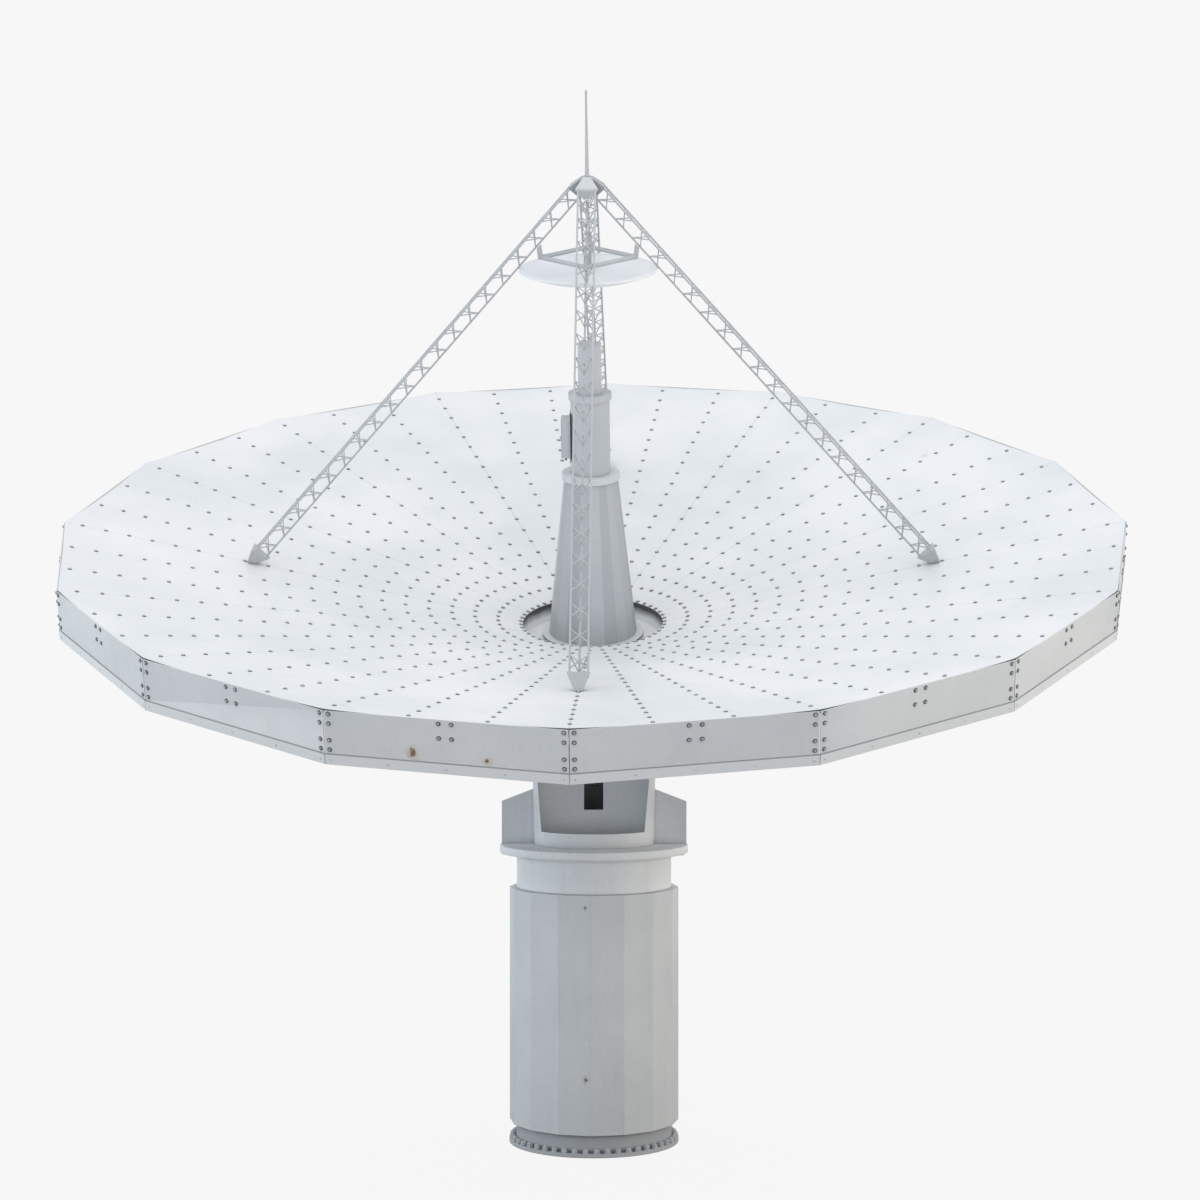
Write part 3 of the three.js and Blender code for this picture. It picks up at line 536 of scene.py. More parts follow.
# Near white for the well's floor, painted light against its shade; dark up the wall, painted shade.
HUB_PAINT = painted(
    "hub_paint", grey(0.92, 0.012), speckle=0.03, streaks=0.02, stains=0.5, roughness=0.5, corner_shade=0.05,
    zones=[(well_shade, grey(0.08))])
MIRROR_PAINT = painted(
    "mirror_paint", grey(0.76, 0.03), speckle=0.01, streaks=0.0, stains=0.2, roughness=0.35, corner_shade=0.3)
NUT_PAINT = painted(
    "nut_paint", grey(0.60, 0.02), speckle=0.08, streaks=0.0, stains=0.5, roughness=0.6, corner_shade=0.1)
FLANGE_PAINT = painted(
    "flange_paint", grey(0.62, 0.025), speckle=0.03, streaks=0.0, stains=0.3, roughness=0.45, corner_shade=0.5,
    zones=[(flange_side_shade, grey(0.16, 0.02))])
SHOE_PAINT = painted(
    "shoe_paint", grey(0.48, 0.02), speckle=0.04, streaks=0.0, stains=0.3, roughness=0.45, corner_shade=0.4)
BOLT_STEEL = metal("bolt_steel", (0.60, 0.61, 0.63, 1.0), roughness=0.5, metallic=0.2, scratch=120.0)
RIM_BOLT_STEEL = metal("rim_bolt_steel", (0.38, 0.39, 0.41, 1.0), roughness=0.5, metallic=0.2, scratch=120.0)
WASHER_STEEL = metal("washer_steel", (0.10, 0.11, 0.12, 1.0), roughness=0.6, metallic=0.3, scratch=120.0)
BARE_STEEL = metal("bare_steel", (0.42, 0.43, 0.44, 1.0), roughness=0.36)
GEAR_IRON = metal("gear_iron", (0.20, 0.205, 0.21, 1.0), roughness=0.4, metallic=0.85, grease=0.8)
MOTOR_PAINT = painted(
    "motor_paint", (0.075, 0.085, 0.10, 1.0), speckle=0.12, streaks=0.02, stains=0.2, roughness=0.42)
# Black rubber for the cable glands; the same dark material makes the strip under the skin's edge, a painted
# shade.
RUBBER_AND_SHADE = painted(
    "rubber_and_shade", (0.055, 0.06, 0.065, 1.0), speckle=0.2, streaks=0.0, stains=0.3, roughness=0.75)

# ---- reflector skin: thin sheets, one to each side of the rim ----
SHEET_SEAM = 0.0016
SHEET_STEPS_OUT = 12
SHEET_STEPS_ROUND = 9
CAD_PANELS = 8


def sheet(shape, first):
    """One sheet from the hub's hole to the rim, from a first angle on."""
    rows = []
    for i in range(SHEET_STEPS_OUT + 1):
        share = i / SHEET_STEPS_OUT
        row = []
        for j in range(SHEET_STEPS_ROUND + 1):
            edge = HUB_HOLE_RADIUS + (SKIN_EDGE_RADIUS - HUB_HOLE_RADIUS) * share
            shy = math.asin(SHEET_SEAM / 2 / edge)
            angle = first + shy + (FACET - 2 * shy) * j / SHEET_STEPS_ROUND
            outer = rim_edge(angle, SKIN_EDGE_RADIUS)
            radius = HUB_HOLE_RADIUS + (outer - HUB_HOLE_RADIUS) * share
            row.append((radius, angle))
        rows.append(row)
    across = SHEET_STEPS_ROUND + 1
    count = across * len(rows)
    points = [DISH @ polar(r, a, skin_height(r)) for row in rows for r, a in row]
    points += [DISH @ polar(r, a, skin_height(r) - SKIN_THICKNESS) for row in rows for r, a in row]
    faces = []
    for i in range(SHEET_STEPS_OUT):
        for j in range(SHEET_STEPS_ROUND):
            a, b = i * across + j, i * across + j + 1
            c, d = b + across, a + across
            faces += [[a, d, c, b], [count + a, count + b, count + c, count + d]]
        for j, step in ((0, 1), (SHEET_STEPS_ROUND, -1)):
            a, d = i * across + j, (i + 1) * across + j
            faces.append([a, count + a, count + d, d][::step])
    for i, step in ((0, 1), (SHEET_STEPS_OUT, -1)):
        for j in range(SHEET_STEPS_ROUND):
            a, b = i * across + j, i * across + j + 1
            faces.append([a, b, count + b, count + a][::step])
    shape.add(points, faces)


skin = Shape()
for side in range(SIDES):
    sheet(skin, FRONT + side * FACET)
piece("dish_skin", skin, "dish", SKIN_PAINT, smooth=25,
      replaces=[f"reflector_panel_{i}" for i in range(1, CAD_PANELS + 1)])

SKIN_LEAN = math.atan(SKIN_SLOPE)
BOLT_RADIUS, BOLT_HEIGHT = 0.0115, 0.009
WASHER_RADIUS, WASHER_HEIGHT = 0.0168, 0.003
bolts, washers = Shape(), Shape()
for column in range(COLUMNS):
    angle = FRONT + column * COLUMN
    for row in range(ROWS):
        radius = ROW_OUTER - row * ROW_STEP
        normal = polar(-math.sin(SKIN_LEAN), angle, math.cos(SKIN_LEAN))
        place = DISH @ on_surface(polar(radius, angle, skin_height(radius)), normal, rng.uniform(0, 1))
        bolts.bolt(place, BOLT_RADIUS, BOLT_HEIGHT, foot=WASHER_HEIGHT)
        washers.washer(place, WASHER_RADIUS, WASHER_HEIGHT)
piece("skin_bolts", bolts, "dish", BOLT_STEEL, smooth=30)
piece("skin_washers", washers, "dish", WASHER_STEEL, smooth=30)

# A dark strip under the skin's edge, seen where the skin stands proud of the rim's corners: a dark sheet put
# there as painted shade.
STRIP_STEPS = 10
STRIP_DEPTH, STRIP_WIDTH, STRIP_INSET = 0.030, 0.015, 0.0015
STRIP_GAP, STRIP_SLOPE = 0.0003, 0.004
STRIP_LENGTH = 0.996                # of a side of the rim
strip = Shape()
for side in range(SIDES):
    loop = []
    for i in range(STRIP_STEPS + 1):
        angle = FRONT + (side + ((1 - STRIP_LENGTH) / 2 + STRIP_LENGTH * i / STRIP_STEPS)) * FACET
        outer = rim_edge(angle, SKIN_EDGE_RADIUS) - STRIP_INSET
        inner = outer - STRIP_WIDTH
        top = skin_height(outer) - SKIN_THICKNESS - STRIP_GAP
        bottom = top - STRIP_DEPTH
        for radius, height in ((outer, top), (outer, bottom), (inner, bottom), (inner, top - STRIP_SLOPE)):
            loop.append(DISH @ polar(radius, angle, height))
    faces = [[0, 1, 2, 3], [4 * STRIP_STEPS + 3 - i for i in range(4)]]
    for i in range(STRIP_STEPS):
        for k in range(4):
            a, b = 4 * i + k, 4 * i + (k + 1) % 4
            faces.append([b, a, a + 4, b + 4])
    strip.add(loop, faces)
piece("edge_shade_strip", strip, "dish", RUBBER_AND_SHADE, smooth=30)

# Pressed stiffeners under every bolt column, between hub and rim. The hat section is (across, height).
HAT = [(-0.045, 0), (-0.045, -0.003), (-0.022, -0.003), (-0.018, -0.050),
       (0.018, -0.050), (0.022, -0.003), (0.045, -0.003), (0.045, 0)]
HAT_FROM, HAT_TO = HUB_HOLE_RADIUS + 0.045, RIM_RADIUS - 0.12
HAT_GAP = 0.0005
hats = Shape()
for column in range(COLUMNS):
    angle = FRONT + column * COLUMN
    points = []
    for radius in (HAT_FROM, HAT_TO):
        centre = polar(radius, angle, skin_height(radius) - SKIN_THICKNESS - HAT_GAP)
        side = polar(1, angle + math.pi / 2)
        points += [DISH @ (centre + side * x + Vector((0, 0, z))) for x, z in HAT]
    hats.joined(points)
piece("skin_stiffeners", hats, "dish", UNDER_PAINT, smooth=20)

# ---- rim plates: seam bolts, the four middle bolts and the lip screws of every plate ----
SEAM_BOLT_DROPS = (0.022, 0.094, 0.219, 0.290)
SEAM_BOLT_INSET = 0.036
MIDDLE_BOLT_DROPS = (0.030, 0.138)
MIDDLE_BOLT_HALF = 0.046
SCREW_SHARES = (-0.955, -0.48, 0.0, 0.48, 0.955)    # along half a plate, from its middle
SCREW_DROP = RIM_HEIGHT - LIP_HEIGHT * 0.45
SCREW_RADIUS, SCREW_HEIGHT, SCREW_SIDES = 0.0075, 0.004, 12
HALF_PLATE = RIM_RADIUS * math.sin(FACET / 2)


def on_rim_plate(middle, along, drop, proud=0.0):
    """A place on a rim plate's outer face, turned at random."""
    at = rim_plate_point(middle, along, drop, proud)
    return DISH @ on_surface(at, polar(1, middle), rng.uniform(0, 1))


rim_bolts, rim_washers, lip_screws = Shape(), Shape(), Shape()
for side in range(SIDES):
    middle = FRONT + (side + 0.5) * FACET
    for end in (-1, 1):
        seam = end * (HALF_PLATE - SEAM_BOLT_INSET)
        places = [on_rim_plate(middle, seam, drop) for drop in SEAM_BOLT_DROPS]
        places += [on_rim_plate(middle, end * MIDDLE_BOLT_HALF, drop) for drop in MIDDLE_BOLT_DROPS]
        for place in places:
            rim_bolts.bolt(place, BOLT_RADIUS, BOLT_HEIGHT, foot=WASHER_HEIGHT)
            rim_washers.washer(place, WASHER_RADIUS, WASHER_HEIGHT)
    for share in SCREW_SHARES:
        place = on_rim_plate(middle, share * HALF_PLATE, SCREW_DROP, LIP_PROUD)
        lip_screws.bolt(place, SCREW_RADIUS, SCREW_HEIGHT, sides=SCREW_SIDES)
piece("rim_bolts", rim_bolts, "dish", RIM_BOLT_STEEL, smooth=30)
piece("rim_washers", rim_washers, "dish", WASHER_STEEL, smooth=30)
piece("lip_screws", lip_screws, "dish", BOLT_STEEL, smooth=40)
for number in range(1, SIDES + 1):
    keep(f"rim_plate_{number:02d}", RIM_PAINT, 0.0012)

# ---- hub well and main ribs ----
HUB_OUTER, HUB_BOTTOM = 0.612, HUB_FLOOR - 0.020
hub = Shape()
well_lip = skin_height(HUB_HOLE_RADIUS) - SKIN_THICKNESS - 2 * PIECE_GAP
hub.turned([
    (0, HUB_BOTTOM), (HUB_OUTER, HUB_BOTTOM), (HUB_OUTER, well_lip), (HUB_HOLE_RADIUS, well_lip),
    (HUB_HOLE_RADIUS, HUB_FLOOR + 0.012), (HUB_HOLE_RADIUS - 0.004, HUB_FLOOR + 0.004),
    (HUB_HOLE_RADIUS - 0.012, HUB_FLOOR), (0, HUB_FLOOR),
], SMOOTH_SIDES, DISH)
piece("hub_well", hub, "dish", HUB_PAINT, replaces=["hub_cup"])
for name in ("front", "right", "back", "left"):
    keep(f"main_rib_{name}", UNDER_PAINT, 0.0015)

# ---- feed: cone, tube, horn and the equipment box ----
CONE_FOOT, CONE_TOP = HUB_FLOOR + PIECE_GAP, 0.396
CONE_NECK, CONE_BASE, CONE_NARROW = 0.390, 0.376, 0.228
FLANGE_RADIUS, FLANGE_FOOT = 0.434, -1.000
RING_RADIUS, RING_TOP = 0.244, 0.450
TUBE_RADIUS, TUBE_FOOT, TUBE_FLANGE, TUBE_TOP = 0.164, 0.451, 1.085, 1.139
TUBE_FLANGE_RADIUS = 0.181
HORN_RADIUS, HORN_TOP = 0.098, 1.557
TUBE_SIDES, HORN_SIDES = 64, 48
EASE = 0.003                        # the width of a turned chamfer
FLANGE_IN, RING_IN = CONE_BASE - 0.024, TUBE_RADIUS - 0.012
TUBE_IN, HORN_IN = TUBE_RADIUS - 0.010, HORN_RADIUS - 0.008
cone = Shape()
cone.turned([
    (CONE_NECK - 0.012, CONE_FOOT), (CONE_NECK, CONE_FOOT),
    (CONE_NECK, FLANGE_FOOT), (FLANGE_IN, FLANGE_FOOT),
], CONE_SIDES, DISH)
cone.turned([
    (CONE_BASE - 0.020, FLANGE_TOP - 0.002), (CONE_BASE, FLANGE_TOP - 0.002),
    (CONE_NARROW, CONE_TOP - 0.0005), (RING_IN, CONE_TOP - 0.0005),
], CONE_SIDES, DISH)
piece("feed_cone_sheets", cone, "dish", CONE_PAINT, smooth=10, replaces=["feed_cone"])
flanges = Shape()
flanges.turned([
    (FLANGE_IN, FLANGE_FOOT), (FLANGE_RADIUS - 0.002, FLANGE_FOOT), (FLANGE_RADIUS, FLANGE_FOOT + 0.002),
    (FLANGE_RADIUS, FLANGE_TOP - EASE), (FLANGE_RADIUS - EASE, FLANGE_TOP), (FLANGE_IN, FLANGE_TOP),
], SMOOTH_SIDES, DISH)
flanges.turned([
    (RING_IN, CONE_TOP), (RING_RADIUS - EASE, CONE_TOP), (RING_RADIUS, CONE_TOP + EASE),
    (RING_RADIUS, RING_TOP - EASE), (RING_RADIUS - EASE, RING_TOP), (RING_IN, RING_TOP),
], TUBE_SIDES, DISH)
piece("feed_cone_flanges", flanges, "dish", FLANGE_PAINT, smooth=30)
tube = Shape()
tube.turned([
    (TUBE_IN, TUBE_FOOT), (TUBE_RADIUS, TUBE_FOOT), (TUBE_RADIUS, TUBE_FLANGE),
    (TUBE_FLANGE_RADIUS - EASE, TUBE_FLANGE), (TUBE_FLANGE_RADIUS, TUBE_FLANGE + EASE),
    (TUBE_FLANGE_RADIUS, TUBE_TOP - EASE), (TUBE_FLANGE_RADIUS - EASE, TUBE_TOP),
    (HORN_IN, TUBE_TOP), (HORN_IN, TUBE_FLANGE), (TUBE_IN, TUBE_FLANGE - 0.010),
], TUBE_SIDES, DISH)
piece("feed_tube_wall", tube, "dish", FEED_PAINT, replaces=["feed_tube"])
horn = Shape()
horn.turned([
    (HORN_IN, HORN_TOP - 0.010), (0, HORN_TOP - 0.008), (0, HORN_TOP), (HORN_RADIUS - 0.006, HORN_TOP),
    (HORN_RADIUS + EASE, HORN_TOP - 0.002), (HORN_RADIUS + EASE, HORN_TOP - 0.010),
    (HORN_RADIUS, HORN_TOP - 0.014), (HORN_RADIUS, TUBE_TOP + 0.014),
    (HORN_RADIUS + 0.014, TUBE_TOP + 0.012), (HORN_RADIUS + 0.014, TUBE_TOP + PIECE_GAP),
    (HORN_IN, TUBE_TOP + PIECE_GAP),
], HORN_SIDES, DISH)
piece("feed_horn_body", horn, "dish", FEED_PAINT, replaces=["feed_horn"])
FEED_BOLT_RINGS = ((12, 0.172, TUBE_TOP, 0.005), (8, 0.106, 1.151, 0.004))  # count, circle, height, size
feed_bolts = Shape()
for count, radius, height, size in FEED_BOLT_RINGS:
    for i in range(count):
        at = polar(radius, 2 * math.pi * (i + 0.5) / count, height)
        feed_bolts.bolt(DISH @ on_surface(at, UP), size, size * 0.8, washer=size * 1.35)
piece("feed_bolts", feed_bolts, "dish", BOLT_STEEL, smooth=30)

keep("equipment_box", FEED_PAINT, 0.002)
keep("box_door", FEED_PAINT, 0.0015)
DOOR_LOW, DOOR_HIGH, DOOR_FACE = 0.590, 0.922, -0.2425
KNUCKLE_INSET, KNUCKLE_STEP, KNUCKLE_LENGTH = 0.06, 0.022, 0.020
BOX_KNUCKLE, BOX_KNUCKLE_RADIUS = (-0.2370, 0.0850), 0.0045
DOOR_KNUCKLE, DOOR_KNUCKLE_RADIUS = (-0.2450, 0.0800), 0.0030
knuckles_box, knuckles_door, latch = Shape(), Shape(), Shape()
for centre in (DOOR_LOW + KNUCKLE_INSET, DOOR_HIGH - KNUCKLE_INSET):
    for part, (x, y), radius, target in ((-0.5, BOX_KNUCKLE, BOX_KNUCKLE_RADIUS, knuckles_box),
                                         (0.5, DOOR_KNUCKLE, DOOR_KNUCKLE_RADIUS, knuckles_door)):
        a = Vector((x, y, centre + part * KNUCKLE_STEP - KNUCKLE_LENGTH / 2))
        target.rod(DISH @ a, DISH @ (a + Vector((0, 0, KNUCKLE_LENGTH))), radius, 10)
latch.block((DOOR_FACE - 0.004, -0.068, 0.735), (DOOR_FACE + 0.0005, -0.046, 0.777), DISH)
knob = [DISH @ Vector((DOOR_FACE - proud, -0.057, 0.764)) for proud in (0.001, 0.010)]
latch.rod(*knob, 0.006, 12)
piece("box_hinges", knuckles_box, "dish", BARE_STEEL)
piece("door_hinges", knuckles_door, "box_door", BARE_STEEL)
piece("door_latch", latch, "box_door", BARE_STEEL, bevel=0.001)
GLAND_X, GLAND_LENGTH, GLAND_RADIUS = -0.205, 0.022, 0.010
glands = Shape()
for across in (-0.045, 0.0, 0.045):
    ends = [DISH @ Vector((GLAND_X, across, height)) for height in (DOOR_LOW, DOOR_LOW - GLAND_LENGTH)]
    glands.rod(*ends, GLAND_RADIUS, 8)
piece("cable_glands", glands, "dish", RUBBER_AND_SHADE)

# ---- lattice legs: three chords, with crossed bars between each two, down to a shoe ----
LEG_RADIUS, LEG_HEIGHT = 2.765, -0.201
LEG_ANGLE = math.atan2(0.749, 0.6626)
LEG_OUT, LEG_SIDE = 0.0545, 0.069
X_PITCH, X_HALF, X_COUNT = 0.207, 0.052, 20
CHORD_RADIUS, BRACE_RADIUS = 0.0082, 0.0050
LEG_COS, LEG_SIN = math.cos(LEG_ANGLE), math.sin(LEG_ANGLE)
TOP_CHORD, LOW_CHORD = (-0.125, 4.028), (-0.095, 3.995)         # from and to, along the leg
CHORDS = (((LEG_OUT, -LEG_SIDE), TOP_CHORD), ((LEG_OUT, LEG_SIDE), TOP_CHORD), ((-LEG_OUT, 0.0), LOW_CHORD))
SHOE_GAP = 0.003                    # between the shoe's toe and the skin
SHOE = [(2.891, 0.091, -0.208), (2.752, 0.020, -0.316),         # radius, half width, height
        (2.878, 0.031, skin_height(2.878) + SHOE_GAP), (2.945, 0.031, skin_height(2.945) + SHOE_GAP)]
LEGS = {"front": FRONT, "right": 0.0, "back": math.pi / 2, "left": math.pi}


def leg_point(along, outward, sideways):
    return Vector((LEG_RADIUS - along * LEG_COS + outward * LEG_SIN, sideways,
                   LEG_HEIGHT + along * LEG_SIN + outward * LEG_COS))


for name, azimuth in LEGS.items():
    turn = DISH @ Matrix.Rotation(azimuth, 4, "Z")
    leg = Shape()
    for corner, (start, end) in CHORDS:
        leg.rod(turn @ leg_point(start, *corner), turn @ leg_point(end, *corner), CHORD_RADIUS, 12)
    for i in range(X_COUNT):
        foot, head = i * X_PITCH - X_HALF, i * X_PITCH + X_HALF
        for k in range(3):
            a, b = CHORDS[k][0], CHORDS[(k + 1) % 3][0]
            for low, high in ((a, b), (b, a)):
                leg.rod(turn @ leg_point(foot, *low), turn @ leg_point(head, *high), BRACE_RADIUS, 6)
    piece(f"lattice_{name}", leg, "dish", TRUSS_PAINT, smooth=50, replaces=[f"leg_{name}"])
    shoe = Shape()
    shoe.hull([(r, s * half, h) for r, half, h in SHOE for s in (-1, 1)], turn)
    piece(f"shoe_{name}", shoe, "dish", SHOE_PAINT, bevel=0.004)

# ---- apex, spike, subreflector ----
keep("apex_bracket", APEX_PAINT, 0.002)
APEX_TOP = 2.938
SPIKE_SIDES = 16
SPIKE = [(0, PIECE_GAP), (0.030, PIECE_GAP), (0.030, 0.008), (0.019, 0.012),            # foot
         (0.018, 0.060), (0.0165, 0.064), (0.011, 0.40), (0.008, 0.655),                # tapered rod
         (0.011, 0.662), (0.0115, 0.672), (0.009, 0.682), (0.004, 0.692), (0, 0.693)]   # bulb
spike = Shape()
spike.turned([(radius, APEX_TOP + height) for radius, height in SPIKE], SPIKE_SIDES, DISH)
piece("spike_rod", spike, "dish", TRUSS_PAINT, smooth=40, replaces=["lightning_spike"])

SUB_RADIUS, SUB_RIM, SUB_DEPTH, SUB_WALL = 0.563, 2.183, 0.112, 0.012
SUB_STEPS = 14
SUB_BEAD = [(0.003, -0.010), (0.003, 0.006), (0, 0.008), (-0.010, 0.008), (-0.013, 0.004)]  # from the rim


def bowl(radius):
    return SUB_RIM - SUB_DEPTH * (1 - (radius / SUB_RADIUS) ** 2)


radii = [SUB_RADIUS * i / SUB_STEPS for i in range(SUB_STEPS + 1)]
outline = [(r, bowl(r) - SUB_WALL) for r in radii]
outline += [(SUB_RADIUS + out, SUB_RIM + up) for out, up in SUB_BEAD]
outline += [(r, bowl(r)) for r in reversed(radii[:-1])]
sub = Shape()
sub.turned(outline, SMOOTH_SIDES, DISH)
piece("subreflector_bowl", sub, "dish", MIRROR_PAINT, smooth=30, replaces=["subreflector"])
keep("subreflector_frame", TRUSS_PAINT, 0.002)

# ---- dish mount below the reflector ----
keep("elevation_yoke", PEDESTAL_PAINT, 0.004)
keep("sector_gear", GEAR_IRON, 0.0015)
keep("trunnion_shaft", BARE_STEEL, 0.003)

# ---- pedestal ----
PLINTH_RADIUS, PLINTH_TOP, FOOT_RADIUS = 0.674, 0.183, 0.735
base = Shape()
base.turned([
    (0, 0), (FOOT_RADIUS - 0.002, 0), (FOOT_RADIUS, 0.003), (FOOT_RADIUS, FOOT_TOP - 0.004),
    (FOOT_RADIUS - 0.004, FOOT_TOP), (PLINTH_RADIUS + 0.010, FOOT_TOP),
    (PLINTH_RADIUS + 0.002, FOOT_TOP + 0.004), (PLINTH_RADIUS, FOOT_TOP + 0.012),
    (PLINTH_RADIUS, PLINTH_TOP - 0.003), (PLINTH_RADIUS - 0.003, PLINTH_TOP), (0, PLINTH_TOP),
], PEDESTAL_SIDES)
piece("base_plate", base, "base", PLINTH_PAINT, smooth=30, replaces=["base_flange"])
ANCHORS, ANCHOR_CIRCLE = 48, 0.706
NUT_RADIUS, NUT_HEIGHT, NUT_WASHER = 0.0255, 0.026, 0.0275
STUD_FROM, STUD_TO, STUD_RADIUS, STUD_TIP = 0.028, 0.0385, 0.0135, 0.012
anchors = Shape()
for i in range(ANCHORS):
    at = polar(ANCHOR_CIRCLE, 2 * math.pi * (i + 0.5) / ANCHORS, FOOT_TOP + 0.0005)
    place = Matrix.Translation(at) @ Matrix.Rotation(rng.uniform(0, 1), 4, "Z")
    anchors.bolt(place, NUT_RADIUS, NUT_HEIGHT, washer=NUT_WASHER)
    anchors.rod(place @ Vector((0, 0, STUD_FROM)), place @ Vector((0, 0, STUD_TO)), STUD_RADIUS, 12, STUD_TIP)
piece("anchor_bolts", anchors, "base", NUT_PAINT, smooth=30, replaces=["anchor_nuts"])
keep("pedestal_shaft", PEDESTAL_PAINT, 0.004)
keep("slewing_ring", GEAR_IRON, 0.0015)
keep("azimuth_pinion", GEAR_IRON, 0.001)
keep("elevation_pinion", GEAR_IRON, 0.001)

COLLAR_RADIUS, COLLAR_WALL, COLLAR_FOOT, COLLAR_TOP = 0.671, 0.031, 2.205, 2.505
BAND_PROUD, BAND_HEIGHT = 0.004, 0.034                  # the band round the collar's top
SHELF_TOP, SHELF_HOLE = 2.436, 0.200
collar = Shape()
inner = COLLAR_RADIUS - COLLAR_WALL
collar.turned([
    (inner, COLLAR_FOOT), (COLLAR_RADIUS - 0.003, COLLAR_FOOT), (COLLAR_RADIUS, COLLAR_FOOT + 0.003),
    (COLLAR_RADIUS, COLLAR_TOP - BAND_HEIGHT), (COLLAR_RADIUS + BAND_PROUD, COLLAR_TOP - BAND_HEIGHT + 0.002),
    (COLLAR_RADIUS + BAND_PROUD, COLLAR_TOP - 0.003), (COLLAR_RADIUS + BAND_PROUD - 0.003, COLLAR_TOP),
    (inner, COLLAR_TOP), (inner, SHELF_TOP), (SHELF_HOLE, SHELF_TOP), (SHELF_HOLE, SHELF_TOP - COLLAR_WALL),
    (inner, SHELF_TOP - COLLAR_WALL),
], PEDESTAL_SIDES)
piece("collar_wall", collar, "base", COLLAR_PAINT, smooth=30, replaces=["top_collar"])

# ---- access hatch: trim, hinge knuckles and a handle, built facing +X and turned into place ----
SHAFT_RADIUS = 0.733                # at the corners
HATCH_THICKNESS = 0.008
HATCH_PLACE = Matrix.Rotation(math.pi / 2 + FACET / 2, 4, "Z")
HATCH_FACE = SHAFT_RADIUS * math.cos(FACET / 2) + PIECE_GAP + HATCH_THICKNESS
FRAME_HALF, FRAME_LOW, FRAME_HIGH, FRAME_WIDTH, FRAME_PROUD = 0.094, 0.506, 1.114, 0.014, 0.004
KNUCKLES, KNUCKLE_SIDE, KNUCKLE_RADIUS = (0.62, 1.0), -0.100, 0.007
GRIP_SIDE, GRIP_LOW, GRIP_HIGH, GRIP_PROUD, GRIP_RADIUS = 0.062, 0.76, 0.88, 0.030, 0.006
keep("access_hatch", PEDESTAL_PAINT, 0.002)
trim, hinge_base = Shape(), Shape()
in_half, in_low, in_high = FRAME_HALF - FRAME_WIDTH, FRAME_LOW + FRAME_WIDTH, FRAME_HIGH - FRAME_WIDTH
for low, high in (((-FRAME_HALF, FRAME_LOW), (-in_half, FRAME_HIGH)),
                  ((in_half, FRAME_LOW), (FRAME_HALF, FRAME_HIGH)),
                  ((-in_half, FRAME_LOW), (in_half, in_low)),
                  ((-in_half, in_high), (in_half, FRAME_HIGH))):
    trim.block((HATCH_FACE - 0.0005, *low), (HATCH_FACE + FRAME_PROUD, *high), HATCH_PLACE)
for height in KNUCKLES:
    for target, foot, head in ((trim, height, height + 0.04), (hinge_base, height + 0.042, height + 0.08)):
        ends = [HATCH_PLACE @ Vector((HATCH_FACE + 0.003, KNUCKLE_SIDE, z)) for z in (foot, head)]
        target.rod(*ends, KNUCKLE_RADIUS, 12)
handle = Shape()
grip = [HATCH_PLACE @ Vector((HATCH_FACE + proud, GRIP_SIDE, height))
        for proud, height in ((0, GRIP_LOW), (GRIP_PROUD, GRIP_LOW), (GRIP_PROUD, GRIP_HIGH), (0, GRIP_HIGH))]
for a, b in zip(grip, grip[1:]):
    handle.rod(a, b, GRIP_RADIUS, 10)
piece("hatch_trim", trim, "hatch", PEDESTAL_PAINT, bevel=0.001)
piece("hatch_handle", handle, "hatch", BARE_STEEL)
piece("hatch_knuckles", hinge_base, "base", BARE_STEEL)

# ---- turret ----
PLATFORM_RADIUS, PLATFORM_FOOT, PLATFORM_TOP, PLATFORM_HOLE = 0.817, 2.506, 2.576, 0.150
DECK_BOLT_CIRCLE, DECK_BOLT_DEGREES = 0.770, (-8, 8, 50, 70, 90, 110, 130, 172, 188)
DECK_BOLT_RADIUS, DECK_BOLT_HEIGHT, DECK_WASHER = 0.026, 0.016, 0.031
deck = Shape()
deck.turned([
    (PLATFORM_HOLE, PLATFORM_FOOT), (PLATFORM_RADIUS - 0.008, PLATFORM_FOOT),
    (PLATFORM_RADIUS - 0.002, PLATFORM_FOOT + 0.002), (PLATFORM_RADIUS, PLATFORM_FOOT + 0.008),
    (PLATFORM_RADIUS, PLATFORM_TOP - 0.014), (PLATFORM_RADIUS - 0.004, PLATFORM_TOP - 0.004),
    (PLATFORM_RADIUS - 0.014, PLATFORM_TOP), (PLATFORM_HOLE, PLATFORM_TOP),
], PEDESTAL_SIDES)
piece("deck", deck, "turret", DECK_PAINT, smooth=30, replaces=["platform"])
deck_bolts = Shape()
for degrees in DECK_BOLT_DEGREES:
    at = polar(DECK_BOLT_CIRCLE, math.radians(degrees), PLATFORM_FOOT)
    deck_bolts.bolt(on_surface(at, (0, 0, -1)), DECK_BOLT_RADIUS, DECK_BOLT_HEIGHT, washer=DECK_WASHER)
piece("deck_bolts", deck_bolts, "turret", DECK_PAINT, smooth=30)

keep("slot_plate", SLOT_PAINT, 0.002)
keep("turret_drum", DRUM_PAINT, 0.002)
keep("bearing_block_left", BARE_STEEL, 0.003)
keep("bearing_block_right", BARE_STEEL, 0.003)


MOTOR_RADIUS, MOTOR_SIDES = 0.066, 40
FINS, FIN_HALF, FIN_HEIGHT = 28, 0.0015, 0.012
CASE_BOLTS = 8


